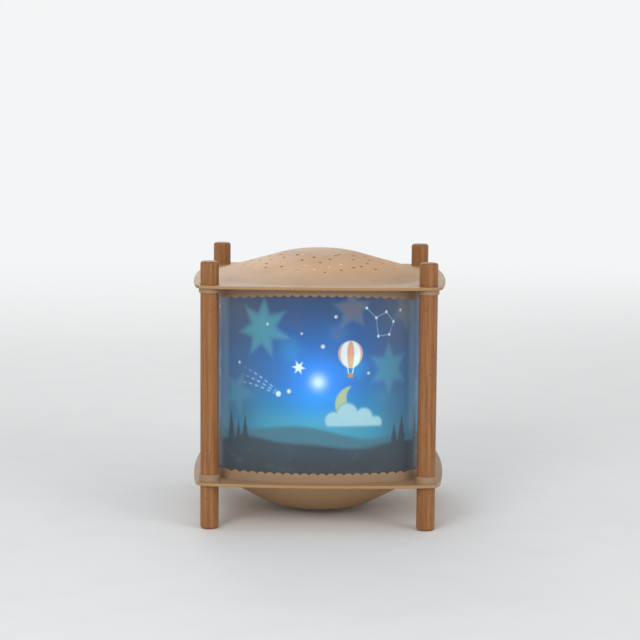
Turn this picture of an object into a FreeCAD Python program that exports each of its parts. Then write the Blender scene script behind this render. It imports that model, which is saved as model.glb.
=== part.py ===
import FreeCAD, Part
import math
import os

import Sketcher
from FreeCAD import Vector

# A table night lamp with a slowly turning drum, in millimetres.
# The origin is on the floor at the centre of the four posts, +Z is up and the front faces -Y.
# Warm air from the bulb turns a vaned wheel, which balances on a needle and carries a film drum.

DRIVING_SIZES = [
    ("post_length", 190, "posts"),
    ("post_diameter", 13, "posts"),
    ("post_spacing", 153, "posts, centre to centre"),
    ("post_edge_round", 2, "posts, both ends"),
    ("foot_height", 31.8, "floor to the underside of the tray's plate"),
    ("post_stand", 16.5, "posts above the cover's plate"),
    ("plate_thickness", 2.2, "both plates"),
    ("plate_corner_radius", 10, "both plates, about each post"),
    ("plate_bulge", 4.8, "both plates, mid-side beyond the corners"),
    ("plate_edge_round", 0.7, "both plates"),
    ("mouth_radius", 79, "both plates, round hole to the dish and the dome"),
    ("sleeve_wall", 0.8, "sleeves"),
    ("tray_sleeve_height", 5.1, "sleeves on the tray"),
    ("cover_sleeve_depth", 3.3, "sleeves under the cover"),
    ("post_fit", 0.05, "radial, posts fixed in the tray"),
    ("cover_fit", 0.25, "radial, cover sliding on the posts"),
    ("collar_width", 166, "lace collars, outside, mid-face to mid-face"),
    ("collar_side_radius", 155, "lace collars, each bulged face"),
    ("collar_corner_radius", 16, "lace collars"),
    ("collar_wall", 1.2, "lace collars"),
    ("tray_collar_height", 7, "lace collar on the tray"),
    ("cover_collar_depth", 5.3, "lace collar under the cover, at mid-face"),
    ("cover_collar_droop", 3, "lace collar under the cover, deeper at its corners"),
    ("scallop_pitch", 6.15, "lace edge"),
    ("scallop_depth", 1.6, "lace edge"),
    ("dish_rim_radius", 87, "dish"),
    ("dish_corner_radius", 36.5, "dish, where flank and flat bottom would meet"),
    ("dish_depth", 27.2, "dish"),
    ("dish_round", 14, "dish, between flank and flat bottom"),
    ("dish_wall", 2.0, "dish"),
    ("dome_base_radius", 86.3, "dome"),
    ("dome_shoulder_radius", 17.8, "dome, where flank and flat top would meet"),
    ("dome_height", 19.2, "dome"),
    ("dome_cap_radius", 92, "dome, arc between flank and top"),
    ("dome_base_round", 20, "dome, hollow arc at its foot"),
    ("dome_wall", 1.8, "dome"),
    ("star_hole_diameter", 2.4, "dome"),
    ("star_field_inner", 26, "dome, radius of the innermost holes"),
    ("star_field_outer", 61, "dome, radius of the outermost holes"),
    ("screen_thickness", 0.6, "screen"),
    ("screen_fit", 0.3, "screen inside the collars and under the cover"),
    ("lap_width", 20, "screen, lap at the back"),
    ("lap_seam_offset", 8, "screen, outer edge of the lap from the middle"),
    ("lap_seam_width", 0.4, "screen, line of the outer edge"),
    ("rivet_radius", 1.5, "screen rivets"),
    ("rivet_head_radius", 3, "screen rivets"),
    ("rivet_head_height", 1.1, "screen rivets"),
    ("rivet_pitch", 48, "screen rivets"),
    ("access_radius", 28, "opening in the dish's flat bottom"),
    ("access_fit", 0.3, "access cover in its opening"),
    ("access_thickness", 1.8, "access cover"),
    ("ledge_thickness", 2.2, "ledge that the access cover meets"),
    ("ledge_radius", 19.5, "ledge, inside"),
    ("ledge_lap", 3, "ledge, beyond the opening"),
    ("vent_inner", 6, "vents of the access cover"),
    ("vent_outer", 16.5, "vents of the access cover"),
    ("vent_width", 2.4, "vents of the access cover"),
    ("access_screw_circle", 23.7, "radius of the access screws' circle"),
    ("access_screw_radius", 1.2, "access screws"),
    ("access_screw_head", 2.2, "access screws, countersunk head radius"),
    ("access_screw_length", 7, "access screws"),
    ("access_boss_radius", 3, "bosses over the access screws"),
    ("access_boss_height", 4, "bosses above the ledge"),
    ("hole_fit", 0.1, "radial, screws and wires in their holes"),
    ("inlet_height", 18, "axis of the cord inlet above the floor"),
    ("inlet_face", 74, "outer face of the inlet boss from the middle"),
    ("inlet_length", 29, "inlet boss"),
    ("inlet_boss_radius", 6.5, "inlet boss"),
    ("inlet_bore_radius", 3.3, "inlet boss, behind the bush"),
    ("bush_radius", 4.5, "cord bush"),
    ("bush_length", 12, "cord bush, inside the boss"),
    ("bush_flange_radius", 6, "cord bush"),
    ("bush_flange_thickness", 1.6, "cord bush"),
    ("bush_bore_radius", 2.7, "cord bush, for a 5 mm cord"),
    ("boss_spacing", 70, "dish bosses under the holder bracket"),
    ("boss_radius", 3.8, "dish bosses"),
    ("boss_top", 24, "dish bosses, height of their tops"),
    ("bracket_width", 16, "holder bracket"),
    ("bracket_overhang", 4.5, "holder bracket beyond its screws"),
    ("bracket_thickness", 1.2, "holder bracket"),
    ("bracket_screw_radius", 1.4, "bracket screws"),
    ("bracket_screw_head", 2.8, "bracket screws"),
    ("bracket_screw_head_height", 2, "bracket screws"),
    ("bracket_screw_length", 12, "bracket screws"),
    ("holder_base_radius", 13, "lampholder"),
    ("holder_base_height", 8, "lampholder, thick foot"),
    ("holder_radius", 11.6, "lampholder, barrel"),
    ("holder_height", 37, "lampholder"),
    ("holder_bore_radius", 8.2, "lampholder"),
    ("holder_edge_round", 1.2, "lampholder, top edge"),
    ("nipple_radius", 4.9, "lampholder, fixing stub"),
    ("nipple_length", 6.4, "lampholder, fixing stub"),
    ("holder_nut_width", 14, "lampholder nut, across flats"),
    ("holder_nut_height", 2.6, "lampholder nut"),
    ("shell_wall", 0.75, "lampholder's contact sleeve"),
    ("shell_height", 25, "lampholder's contact sleeve"),
    ("shell_lift", 1.4, "lampholder's contact sleeve above the bore's floor"),
    ("contact_width", 3.5, "lampholder's centre contact"),
    ("contact_thickness", 0.5, "lampholder's centre contact"),
    ("contact_length", 12, "lampholder's centre contact"),
    ("terminal_side", 4, "terminal blocks"),
    ("terminal_height", 4.8, "terminal blocks"),
    ("terminal_offset", 5.4, "terminal blocks from the middle"),
    ("cap_radius", 7.0, "bulb cap"),
    ("cap_wall", 0.4, "bulb cap"),
    ("cap_bottom", 41.5, "bulb cap, height of its lower edge"),
    ("cap_height", 21, "bulb cap"),
    ("insulator_height", 2.4, "bulb insulator below the cap"),
    ("insulator_radius", 3.6, "bulb insulator, lower end"),
    ("button_radius", 2.4, "bulb contact"),
    ("button_height", 1.0, "bulb contact"),
    ("glass_neck_radius", 6.5, "bulb glass"),
    ("glass_radius", 12.5, "bulb glass"),
    ("glass_neck_depth", 4.5, "bulb glass inside the cap"),
    ("glass_height", 50, "bulb glass above the cap"),
    ("glass_wall", 0.6, "bulb glass"),
    ("stem_radius", 1.8, "bulb stem"),
    ("filament_height", 93, "bulb filament"),
    ("support_length", 9, "bulb filament's supports, above the stem"),
    ("filament_span", 9, "bulb filament, between its supports"),
    ("filament_rise", 2, "bulb filament, bow above its ends"),
    ("filament_radius", 0.35, "bulb filament and its supports"),
    ("bridge_height", 150, "pivot bridge, wire centre"),
    ("bridge_span", 54, "pivot bridge, between its legs"),
    ("bridge_wire_radius", 1.2, "pivot bridge"),
    ("bridge_bend_radius", 14, "pivot bridge"),
    ("bridge_tail", 3.6, "pivot bridge, legs below the bracket"),
    ("eye_radius", 3.4, "pivot bridge, eye at its top"),
    ("eye_height", 5, "pivot bridge, eye at its top"),
    ("bridge_nut_width", 5.5, "bridge nuts, across flats"),
    ("bridge_nut_height", 2, "bridge nuts"),
    ("needle_radius", 1.0, "pivot needle"),
    ("needle_taper", 6, "pivot needle, length of its point"),
    ("needle_point_radius", 0.12, "pivot needle"),
    ("pivot_height", 167.6, "inner apex of the pivot cup"),
    ("pivot_gap", 0.3, "apex of the cup above the needle point"),
    ("cup_radius", 3.0, "pivot cup"),
    ("cup_height", 5, "pivot cup"),
    ("cup_recess_radius", 2.3, "pivot cup, conical recess"),
    ("cup_recess_depth", 2.6, "pivot cup, conical recess"),
    ("press_fit", 0.05, "radial, pieces pressed or glued in place"),
    ("hub_wall", 2.6, "turbine wheel, boss around the cup"),
    ("hub_roof", 1.0, "turbine wheel, above the cup"),
    ("hub_disc_radius", 13, "turbine wheel"),
    ("hub_disc_thickness", 2.4, "turbine wheel"),
    ("rim_width", 1.6, "turbine wheel"),
    ("rim_height", 4.5, "turbine wheel"),
    ("rim_drop", 0.5, "turbine wheel's rim below the film's top edge"),
    ("vane_run", 5, "turbine vanes, sideways over their height"),
    ("vane_rise", 4, "turbine vanes"),
    ("vane_thickness", 0.9, "turbine vanes, sideways"),
    ("vane_count", 14, "turbine vanes"),
    ("drum_radius", 48.5, "film drum, outside"),
    ("drum_bottom", 44, "film drum, height of its lower edge"),
    ("drum_height", 118, "film drum"),
    ("film_thickness", 0.4, "film drum"),
    ("hoop_height", 3, "lower hoop"),
    ("hoop_width", 1.3, "lower hoop"),
    ("drum_rivet_radius", 0.9, "drum rivets"),
    ("drum_rivet_head", 1.8, "drum rivets"),
    ("drum_rivet_head_height", 0.6, "drum rivets"),
]

document = FreeCAD.newDocument("MotionLamp")
sheet = document.addObject("Spreadsheet::Sheet", "sizes")


class Size:
    """A length that is known as a number and as the expression that ties it to the sheet."""

    def __init__(self, value, text):
        self.value = value
        self.text = text

    def __add__(self, other):
        return Size(self.value + number(other), f"({self.text} + {words(other)})")

    def __radd__(self, other):
        return Size(number(other) + self.value, f"({words(other)} + {self.text})")

    def __sub__(self, other):
        return Size(self.value - number(other), f"({self.text} - {words(other)})")

    def __rsub__(self, other):
        return Size(number(other) - self.value, f"({words(other)} - {self.text})")

    def __mul__(self, other):
        return Size(self.value * number(other), f"({self.text} * {words(other)})")

    def __rmul__(self, other):
        return Size(number(other) * self.value, f"({words(other)} * {self.text})")

    def __truediv__(self, other):
        return Size(self.value / number(other), f"({self.text} / {words(other)})")

    def __neg__(self):
        return Size(-self.value, f"(0 - {self.text})")


def number(item):
    """The numeric value of a size or a plain number."""
    return item.value if isinstance(item, Size) else float(item)


def words(item):
    """The expression of a size or a plain number."""
    if isinstance(item, Size):
        return item.text
    return f"({item:.9f})" if item < 0 else f"{item:.9f}"


def root(size):
    """The square root of a size."""
    return Size(math.sqrt(size.value), f"sqrt({size.text})")


def fill_sheet():
    """Writes the driving sizes into the sheet and returns them by name."""
    by_name = {}
    for row, (name, value, use) in enumerate(DRIVING_SIZES, start=1):
        sheet.set(f"A{row}", use)
        sheet.set(f"B{row}", str(value))
        sheet.setAlias(f"B{row}", name)
        by_name[name] = Size(float(value), f"sizes.{name}")
    document.recompute()
    return by_name


size = fill_sheet()


def new_body(label, many=False):
    """A body for one sub-part, which may hold several separate solids where they are alike."""
    body = document.addObject("PartDesign::Body", label)
    body.Label = label
    body.AllowCompound = many
    return body


def origin_feature(body, role):
    """One of the body's own origin planes or axes."""
    return next(feature for feature in body.Origin.OriginFeatures if feature.Role == role)


def new_sketch(body, name, plane="XY_Plane", offset=0, shift=0):
    """A sketch on an origin plane, moved along its normal by offset and along its first axis by shift."""
    sketch = body.newObject("Sketcher::SketchObject", f"{body.Label}_{name}")
    sketch.AttachmentSupport = (origin_feature(body, plane), [""])
    sketch.MapMode = "FlatFace"
    sketch.setExpression(".AttachmentOffset.Base.x", words(shift))
    sketch.setExpression(".AttachmentOffset.Base.z", words(offset))
    return sketch


def constrain_all(sketch, rules):
    """Adds constraints together, and ties to the sheet the value of each whose last term is a size."""
    plain = [[number(term) if isinstance(term, Size) else term for term in rule] for rule in rules]
    indices = sketch.addConstraint([Sketcher.Constraint(*terms) for terms in plain])
    for index, rule in zip(indices, rules):
        if isinstance(rule[-1], Size):
            sketch.setExpression(f"Constraints[{index}]", rule[-1].text)


def constrain(sketch, *terms):
    """Adds one constraint."""
    constrain_all(sketch, [terms])


def held_at(geometry, point, place):
    """The two constraints that tie a point to its place: to an axis for a plain 0, else to a size."""
    rules = []
    for axis, kind, coordinate in ((-2, "DistanceX", place[0]), (-1, "DistanceY", place[1])):
        if isinstance(coordinate, Size):
            rules.append((kind, -1, 1, geometry, point, coordinate))
        else:
            rules.append(("PointOnObject", geometry, point, axis))
    return rules


def hold_point(sketch, geometry, point, place):
    """Ties a point to its place."""
    constrain_all(sketch, held_at(geometry, point, place))


def draw_circle(sketch, radius, place=(0, 0)):
    """A circle of a given radius around a place."""
    centre = Vector(number(place[0]), number(place[1]), 0)
    geometry = sketch.addGeometry(Part.Circle(centre, Vector(0, 0, 1), number(radius)))
    hold_point(sketch, geometry, 3, place)
    constrain(sketch, "Radius", geometry, radius)


def draw_arc(sketch, start, middle, end):
    """An arc through three points; gives its number and which of its ends is the start and the end."""
    geometry = sketch.addGeometry(Part.Arc(start, middle, end))
    forward = sketch.getPoint(geometry, 1).distanceToPoint(start) < 1e-6
    return (geometry, 1, 2) if forward else (geometry, 2, 1)


def draw_outline(sketch, corners, closed=True):
    """Straight runs through corners (across, up) or (across, up, radius of a tangent arc)."""
    count = len(corners)
    points = [Vector(number(corner[0]), number(corner[1]), 0) for corner in corners]
    arrive = list(points)
    leave = list(points)
    middles = {}
    for index, corner in enumerate(corners):
        if len(corner) == 3:
            radius = number(corner[2])
            back = (points[index - 1] - points[index]).normalize()
            ahead = (points[(index + 1) % count] - points[index]).normalize()
            half = back.getAngle(ahead) / 2
            inward = (back + ahead).normalize()
            arrive[index] = points[index] + back * (radius / math.tan(half))
            leave[index] = points[index] + ahead * (radius / math.tan(half))
            middles[index] = points[index] + inward * (radius / math.sin(half) - radius)
    runs = {}
    for index in range(count if closed else count - 1):
        following = (index + 1) % count
        runs[index] = sketch.addGeometry(Part.LineSegment(leave[index], arrive[following]))
    for index, corner in enumerate(corners):
        before = runs.get((index - 1) % count)
        after = runs.get(index)
        if index in middles:
            arc, first, last = draw_arc(sketch, arrive[index], middles[index], leave[index])
            corner_point = sketch.addGeometry(Part.Point(points[index]), True)
            hold_point(sketch, corner_point, 1, corner)
            constrain(sketch, "PointOnObject", corner_point, 1, before)
            constrain(sketch, "PointOnObject", corner_point, 1, after)
            constrain(sketch, "Tangent", before, 2, arc, first)
            constrain(sketch, "Tangent", arc, last, after, 1)
            constrain(sketch, "Radius", arc, corner[2])
        else:
            if before is not None and after is not None:
                constrain(sketch, "Coincident", before, 2, after, 1)
            holder, point = (after, 1) if after is not None else (before, 2)
            hold_point(sketch, holder, point, corner)


def draw_bulged_square(sketch, half_width, side_radius, corner_radius):
    """Four bulged sides, each an arc centred on an axis, joined by tangent corner arcs."""
    reach = side_radius - half_width
    joined = side_radius - corner_radius
    corner = (root(2 * joined * joined - reach * reach) - reach) / 2
    to_corner = Vector(corner.value, corner.value + reach.value, 0).normalize()
    touch = Vector(0, -reach.value, 0) + to_corner * side_radius.value
    sides = []
    arcs = []
    for quarter in range(4):
        turn = FreeCAD.Rotation(Vector(0, 0, 1), -90 * quarter)
        start = turn.multVec(Vector(touch.x, touch.y, 0))
        middle = turn.multVec(Vector(0, half_width.value, 0))
        end = turn.multVec(Vector(-touch.x, touch.y, 0))
        sides.append(draw_arc(sketch, start, middle, end))
        diagonal = corner.value + corner_radius.value * math.sqrt(0.5)
        bend = turn.multVec(Vector(diagonal, diagonal, 0))
        following = turn.multVec(Vector(touch.y, touch.x, 0))
        arcs.append(draw_arc(sketch, following, bend, start))
    for quarter in range(4):
        side, side_start, side_end = sides[quarter]
        arc, arc_start, arc_end = arcs[quarter]
        next_arc, next_start, next_end = arcs[quarter - 1]
        constrain(sketch, "Tangent", arc, arc_end, side, side_start)
        constrain(sketch, "Tangent", side, side_end, next_arc, next_start)
        if quarter:
            constrain(sketch, "Equal", sides[0][0], side)
            constrain(sketch, "Equal", arcs[0][0], arc)
    constrain(sketch, "Radius", sides[0][0], side_radius)
    constrain(sketch, "Radius", arcs[0][0], corner_radius)
    hold_point(sketch, sides[0][0], 3, (0, -reach))
    hold_point(sketch, sides[1][0], 3, (-reach, 0))
    hold_point(sketch, sides[2][0], 3, (0, reach))
    hold_point(sketch, sides[3][0], 3, (reach, 0))


def pad(body, sketch, name, length, backwards=False):
    """Adds the sketch's area, extruded along its normal or against it."""
    feature = body.newObject("PartDesign::Pad", f"{body.Label}_{name}")
    feature.Profile = sketch
    feature.Reversed = backwards
    feature.setExpression("Length", words(length))
    return feature


def pocket(body, sketch, name, length, backwards=False):
    """Cuts the sketch's area along the normal, as a pad would add it, or against it."""
    feature = body.newObject("PartDesign::Pocket", f"{body.Label}_{name}")
    feature.Profile = sketch
    feature.Reversed = not backwards
    feature.setExpression("Length", words(length))
    return feature


def pocket_through(body, sketch, name):
    """Cuts the sketch's area right through the body, both ways."""
    feature = body.newObject("PartDesign::Pocket", f"{body.Label}_{name}")
    feature.Profile = sketch
    feature.Type = "ThroughAll"
    feature.SideType = "Symmetric"
    return feature


def turned(body, sketch, name, kind="Revolution"):
    """Adds, or cuts as a Groove, the sketch's area turned about its own upright axis."""
    feature = body.newObject(f"PartDesign::{kind}", f"{body.Label}_{name}")
    feature.Profile = sketch
    feature.ReferenceAxis = (sketch, ["V_Axis"])
    feature.Angle = 360
    return feature


def repeat_round(body, name, features, count):
    """Repeats features about the body's Z axis."""
    pattern = body.newObject("PartDesign::PolarPattern", f"{body.Label}_{name}")
    pattern.Originals = features
    pattern.Axis = (origin_feature(body, "Z_Axis"), [""])
    pattern.Angle = 360
    pattern.setExpression("Occurrences", words(count))
    body.Tip = pattern
    return pattern


def dress_edges(body, name, kind, amount, wanted):
    """Rounds (Fillet) or breaks (Chamfer) the edges of the body's tip that the test picks."""
    document.recompute()
    base = body.Tip
    names = [f"Edge{place}" for place, edge in enumerate(base.Shape.Edges, start=1) if wanted(edge)]
    feature = body.newObject(f"PartDesign::{kind}", f"{body.Label}_{name}")
    feature.Base = (base, names)
    feature.setExpression("Radius" if kind == "Fillet" else "Size", words(amount))
    return feature


def level_edge(heights):
    """A test for edges that lie level at one of some heights."""
    def test(edge):
        box = edge.BoundBox
        level = box.ZLength < 1e-4
        return level and any(abs(box.ZMin - number(height)) < 1e-4 for height in heights)
    return test


def round_edge(height, radius):
    """A test for full circles of a radius at a height."""
    def test(edge):
        circle = isinstance(edge.Curve, Part.Circle) and edge.isClosed()
        return circle and abs(edge.Curve.Center.z - number(height)) < 1e-4 and (
            abs(edge.Curve.Radius - number(radius)) < 1e-4)
    return test


# Counts, and places that several pieces share
LACE_NOTCHES = 21
VENT_COUNT = 10
FLOOR_RISE = 0.3
POST_HALF = size["post_spacing"] / 2
POST_RADIUS = size["post_diameter"] / 2
PLATE_HALF = POST_HALF + size["plate_corner_radius"] + size["plate_bulge"]
PLATE_SIDE_RADIUS = (
    POST_HALF * POST_HALF
    + 2 * size["plate_corner_radius"] * size["plate_bulge"]
    + size["plate_bulge"] * size["plate_bulge"]
) / (2 * size["plate_bulge"])
TRAY_UNDERSIDE = size["foot_height"]
TRAY_TOP = TRAY_UNDERSIDE + size["plate_thickness"]
COVER_TOP = size["post_length"] - size["post_stand"]
COVER_UNDERSIDE = COVER_TOP - size["plate_thickness"]
COLLAR_HALF = size["collar_width"] / 2
DISH_BOTTOM = TRAY_UNDERSIDE - size["dish_depth"]
DISH_FLOOR = DISH_BOTTOM + size["dish_wall"]
SCREEN_INSET = size["collar_wall"] + size["screen_fit"]
SCREEN_HALF = COLLAR_HALF - SCREEN_INSET
SCREEN_SIDE_RADIUS = size["collar_side_radius"] - SCREEN_INSET
SCREEN_CORNER_RADIUS = size["collar_corner_radius"] - SCREEN_INSET
SCREEN_HEIGHT = COVER_UNDERSIDE - TRAY_TOP - size["screen_fit"]
SCREEN_MIDDLE = TRAY_TOP + SCREEN_HEIGHT / 2
RIVET_HEIGHTS = [SCREEN_MIDDLE + step * size["rivet_pitch"] for step in (-1, 0, 1)]
LEDGE_BOTTOM = DISH_BOTTOM + size["access_thickness"]
LEDGE_TOP = LEDGE_BOTTOM + size["ledge_thickness"]
ACCESS_SCREW_COUNT = 3
BOSS_HALF = size["boss_spacing"] / 2
BRACKET_TOP = size["boss_top"] + size["bracket_thickness"]
BRIDGE_HALF = size["bridge_span"] / 2
HOLDER_TOP = BRACKET_TOP + size["holder_height"]
BORE_FLOOR = BRACKET_TOP + size["holder_base_height"] + FLOOR_RISE
TERMINAL_FLOOR = BORE_FLOOR - size["terminal_height"] - size["hole_fit"]
CAP_TOP = size["cap_bottom"] + size["cap_height"]
GLASS_BOTTOM = CAP_TOP - size["glass_neck_depth"]
GLASS_TOP = CAP_TOP + size["glass_height"]
INSULATOR_BOTTOM = size["cap_bottom"] - size["insulator_height"]
BUTTON_BOTTOM = INSULATOR_BOTTOM - size["button_height"]
STEM_TOP = size["filament_height"] - size["support_length"]
EYE_BOTTOM = size["bridge_height"] - size["eye_height"] / 2
NEEDLE_TIP = size["pivot_height"] - size["pivot_gap"]
CUP_BOTTOM = size["pivot_height"] - size["cup_recess_depth"]
CUP_TOP = CUP_BOTTOM + size["cup_height"]
DRUM_TOP = size["drum_bottom"] + size["drum_height"]
FILM_INSIDE = size["drum_radius"] - size["film_thickness"]
RIM_OUTSIDE = FILM_INSIDE - size["press_fit"]
RIM_TOP = DRUM_TOP - size["rim_drop"]
RIM_BOTTOM = RIM_TOP - size["rim_height"]
RIM_MIDDLE = (RIM_TOP + RIM_BOTTOM) / 2
DRUM_RIVET_COUNT = 3


def build_posts():
    """Four turned dowels, alike, each with both ends rounded."""
    corners = (("front_left", -1, -1), ("front_right", 1, -1), ("back_left", -1, 1), ("back_right", 1, 1))
    for name, across, along in corners:
        body = new_body(f"post_{name}")
        outline = new_sketch(body, "outline")
        draw_circle(outline, POST_RADIUS)
        pad(body, outline, "length", size["post_length"])
        dress_edges(body, "ends", "Fillet", size["post_edge_round"], level_edge([0, size["post_length"]]))
        body.setExpression(".Placement.Base.x", words(POST_HALF * across))
        body.setExpression(".Placement.Base.y", words(POST_HALF * along))


def add_plate(body, underside):
    """The bulged plate that both mouldings have, with rounded edges."""
    outline = new_sketch(body, "plate_outline", offset=underside)
    draw_bulged_square(outline, PLATE_HALF, PLATE_SIDE_RADIUS, size["plate_corner_radius"])
    pad(body, outline, "plate", size["plate_thickness"])
    edges = level_edge([underside, underside + size["plate_thickness"]])
    dress_edges(body, "plate_edges", "Fillet", size["plate_edge_round"], edges)


def add_lace_collar(body, root_height, depth, downwards, droop=0):
    """A bulged square wall on the plate with a lace edge, deeper at its corners by the droop."""
    ring = new_sketch(body, "collar_outline", offset=root_height)
    wall = size["collar_wall"]
    draw_bulged_square(ring, COLLAR_HALF, size["collar_side_radius"], size["collar_corner_radius"])
    draw_bulged_square(
        ring, COLLAR_HALF - wall, size["collar_side_radius"] - wall, size["collar_corner_radius"] - wall)
    pad(body, ring, "collar", depth + droop, backwards=downwards)
    side = -1 if downwards else 1
    tip = root_height + depth * side
    for plane in ("XZ_Plane", "YZ_Plane"):
        cut_lace_edge(body, plane, tip, side, droop)


def cut_lace_edge(body, plane, tip, side, droop):
    """Cuts two opposite faces of a collar to a row of round tips with sharp notches, along an arch."""
    half_pitch = size["scallop_pitch"] / 2
    depth = size["scallop_depth"]
    tip_radius = (half_pitch * half_pitch + depth * depth) / (2 * depth)
    steps = range(-LACE_NOTCHES, LACE_NOTCHES + 1)
    heights = {}
    for step in steps:
        arch = tip + droop * (side * (step / LACE_NOTCHES) ** 2)
        heights[step] = arch if step % 2 else arch - depth * side
    places = {step: (half_pitch * step if step else 0, heights[step]) for step in steps}
    points = {step: Vector(number(place[0]), number(place[1]), 0) for step, place in places.items()}

    swing = math.asin(half_pitch.value / tip_radius.value) / 2
    bow_across = tip_radius.value * math.sin(swing)
    bow_back = tip_radius.value * (1 - math.cos(swing))
    edge = new_sketch(body, f"lace_{plane[:2]}", plane)
    arcs = []
    for step in steps[:-1]:
        peak, hand = (step, 1) if step % 2 else (step + 1, -1)
        bow = points[peak] + Vector(hand * bow_across, -side * bow_back, 0)
        arcs.append(draw_arc(edge, points[step], bow, points[step + 1]))
    rules = [("Radius", arcs[0][0], tip_radius)]
    for place, (arc, start, _) in enumerate(arcs):
        if place:
            before, _, before_end = arcs[place - 1]
            rules.append(("Coincident", before, before_end, arc, start))
            rules.append(("Equal", arcs[0][0], arc))
            rules += held_at(arc, start, places[steps[place]])
    constrain_all(edge, rules)

    beyond = tip + (depth + droop) * side
    corners = [places[LACE_NOTCHES], (half_pitch * LACE_NOTCHES, beyond),
               (-half_pitch * LACE_NOTCHES, beyond), places[-LACE_NOTCHES]]
    draw_outline(edge, corners, closed=False)
    runs = len(arcs)
    constrain(edge, "Coincident", arcs[-1][0], arcs[-1][2], runs, 1)
    constrain(edge, "Coincident", runs + 2, 2, arcs[0][0], arcs[0][1])
    pocket_through(body, edge, f"lace_cut_{plane[:2]}")


def add_sleeves(body, plate_face, depth, downwards, fit):
    """Short sleeves about the posts, bored through the plate."""
    places = [(POST_HALF * across, POST_HALF * along) for across in (-1, 1) for along in (-1, 1)]
    outside = new_sketch(body, "sleeve_outlines", offset=plate_face)
    bores = new_sketch(body, "post_bores", offset=plate_face)
    for place in places:
        draw_circle(outside, POST_RADIUS + fit + size["sleeve_wall"], place)
        draw_circle(bores, POST_RADIUS + fit, place)
    pad(body, outside, "sleeves", depth, backwards=downwards)
    pocket_through(body, bores, "bores")


def build_base_tray():
    """Plate, dish, lace collar, sleeves, bosses and the boss of the cord inlet, in one moulding."""
    body = new_body("base_tray")
    add_plate(body, TRAY_UNDERSIDE)
    add_lace_collar(body, TRAY_TOP, size["tray_collar_height"], downwards=False)
    add_sleeves(body, TRAY_TOP, size["tray_sleeve_height"], downwards=False, fit=size["post_fit"])

    run = size["dish_rim_radius"] - size["dish_corner_radius"]
    slant = root(run * run + size["dish_depth"] * size["dish_depth"])
    wall = size["dish_wall"]
    outside = new_sketch(body, "dish_outside", "XZ_Plane")
    draw_outline(outside, [
        (0, DISH_BOTTOM),
        (size["dish_corner_radius"], DISH_BOTTOM, size["dish_round"]),
        (size["dish_rim_radius"], TRAY_UNDERSIDE),
        (0, TRAY_UNDERSIDE),
    ])
    turned(body, outside, "dish")
    inside = new_sketch(body, "dish_inside", "XZ_Plane")
    draw_outline(inside, [
        (0, DISH_FLOOR),
        (size["dish_corner_radius"] + wall * (run - slant) / size["dish_depth"], DISH_FLOOR,
         size["dish_round"] - wall),
        (size["dish_rim_radius"] - wall * slant / size["dish_depth"], TRAY_UNDERSIDE),
        (0, TRAY_UNDERSIDE),
    ])
    turned(body, inside, "dish_hollow", "Groove")
    mouth = new_sketch(body, "mouth_outline", offset=TRAY_UNDERSIDE)
    draw_circle(mouth, size["mouth_radius"])
    pocket(body, mouth, "mouth", size["plate_thickness"])

    add_access_ledge(body)
    add_bracket_bosses(body)
    add_inlet_boss(body)


def add_access_ledge(body):
    """The opening in the dish's bottom, the ledge inside it and the bosses of the access screws."""
    ledge = new_sketch(body, "ledge_outline", offset=LEDGE_BOTTOM)
    draw_circle(ledge, size["access_radius"] + size["ledge_lap"])
    pad(body, ledge, "ledge", size["ledge_thickness"])
    boss = new_sketch(body, "access_boss_outline", offset=LEDGE_BOTTOM)
    draw_circle(boss, size["access_boss_radius"], (0, size["access_screw_circle"]))
    access_boss = pad(body, boss, "access_boss", size["ledge_thickness"] + size["access_boss_height"])
    repeat_round(body, "access_bosses", [access_boss], ACCESS_SCREW_COUNT)
    opening = new_sketch(body, "opening_outline", offset=DISH_BOTTOM)
    draw_circle(opening, size["access_radius"])
    pocket(body, opening, "opening", size["access_thickness"])
    hole = new_sketch(body, "ledge_hole_outline", offset=DISH_BOTTOM)
    draw_circle(hole, size["ledge_radius"])
    pocket(body, hole, "ledge_hole", size["access_thickness"] + size["ledge_thickness"])
    pilot = new_sketch(body, "access_pilot_outline", offset=LEDGE_BOTTOM)
    draw_circle(pilot, size["access_screw_radius"] + size["press_fit"], (0, size["access_screw_circle"]))
    access_pilot = pocket(body, pilot, "access_pilot", size["access_screw_length"] - size["hole_fit"])
    repeat_round(body, "access_pilots", [access_pilot], ACCESS_SCREW_COUNT)


def add_bracket_bosses(body):
    """Two bosses that stand on the dish and carry the holder bracket's screws."""
    rooted = DISH_BOTTOM + size["dish_wall"] * 0.8
    bosses = new_sketch(body, "boss_outlines", offset=rooted)
    pilots = new_sketch(body, "boss_pilot_outlines", offset=size["boss_top"])
    for side in (-1, 1):
        draw_circle(bosses, size["boss_radius"], (BOSS_HALF * side, 0))
        draw_circle(pilots, size["bracket_screw_radius"] + size["press_fit"], (BOSS_HALF * side, 0))
    pad(body, bosses, "bosses", size["boss_top"] - rooted)
    pocket(body, pilots, "boss_pilots", size["bracket_screw_length"], backwards=True)


def add_inlet_boss(body):
    """A round boss through the dish's back, stepped inside for the cord bush."""
    axis = (0, size["inlet_height"])
    inner_end = size["inlet_face"] - size["inlet_length"]
    outline = new_sketch(body, "inlet_outline", "XZ_Plane", offset=-inner_end)
    draw_circle(outline, size["inlet_boss_radius"], axis)
    pad(body, outline, "inlet_boss", size["inlet_length"], backwards=True)
    bore = new_sketch(body, "inlet_bore_outline", "XZ_Plane", offset=-inner_end)
    draw_circle(bore, size["inlet_bore_radius"], axis)
    pocket(body, bore, "inlet_bore", size["inlet_length"], backwards=True)
    seat = new_sketch(body, "bush_seat_outline", "XZ_Plane", offset=-size["inlet_face"])
    draw_circle(seat, size["bush_radius"] + size["press_fit"], axis)
    pocket(body, seat, "bush_seat", size["bush_length"] + size["press_fit"])


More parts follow.
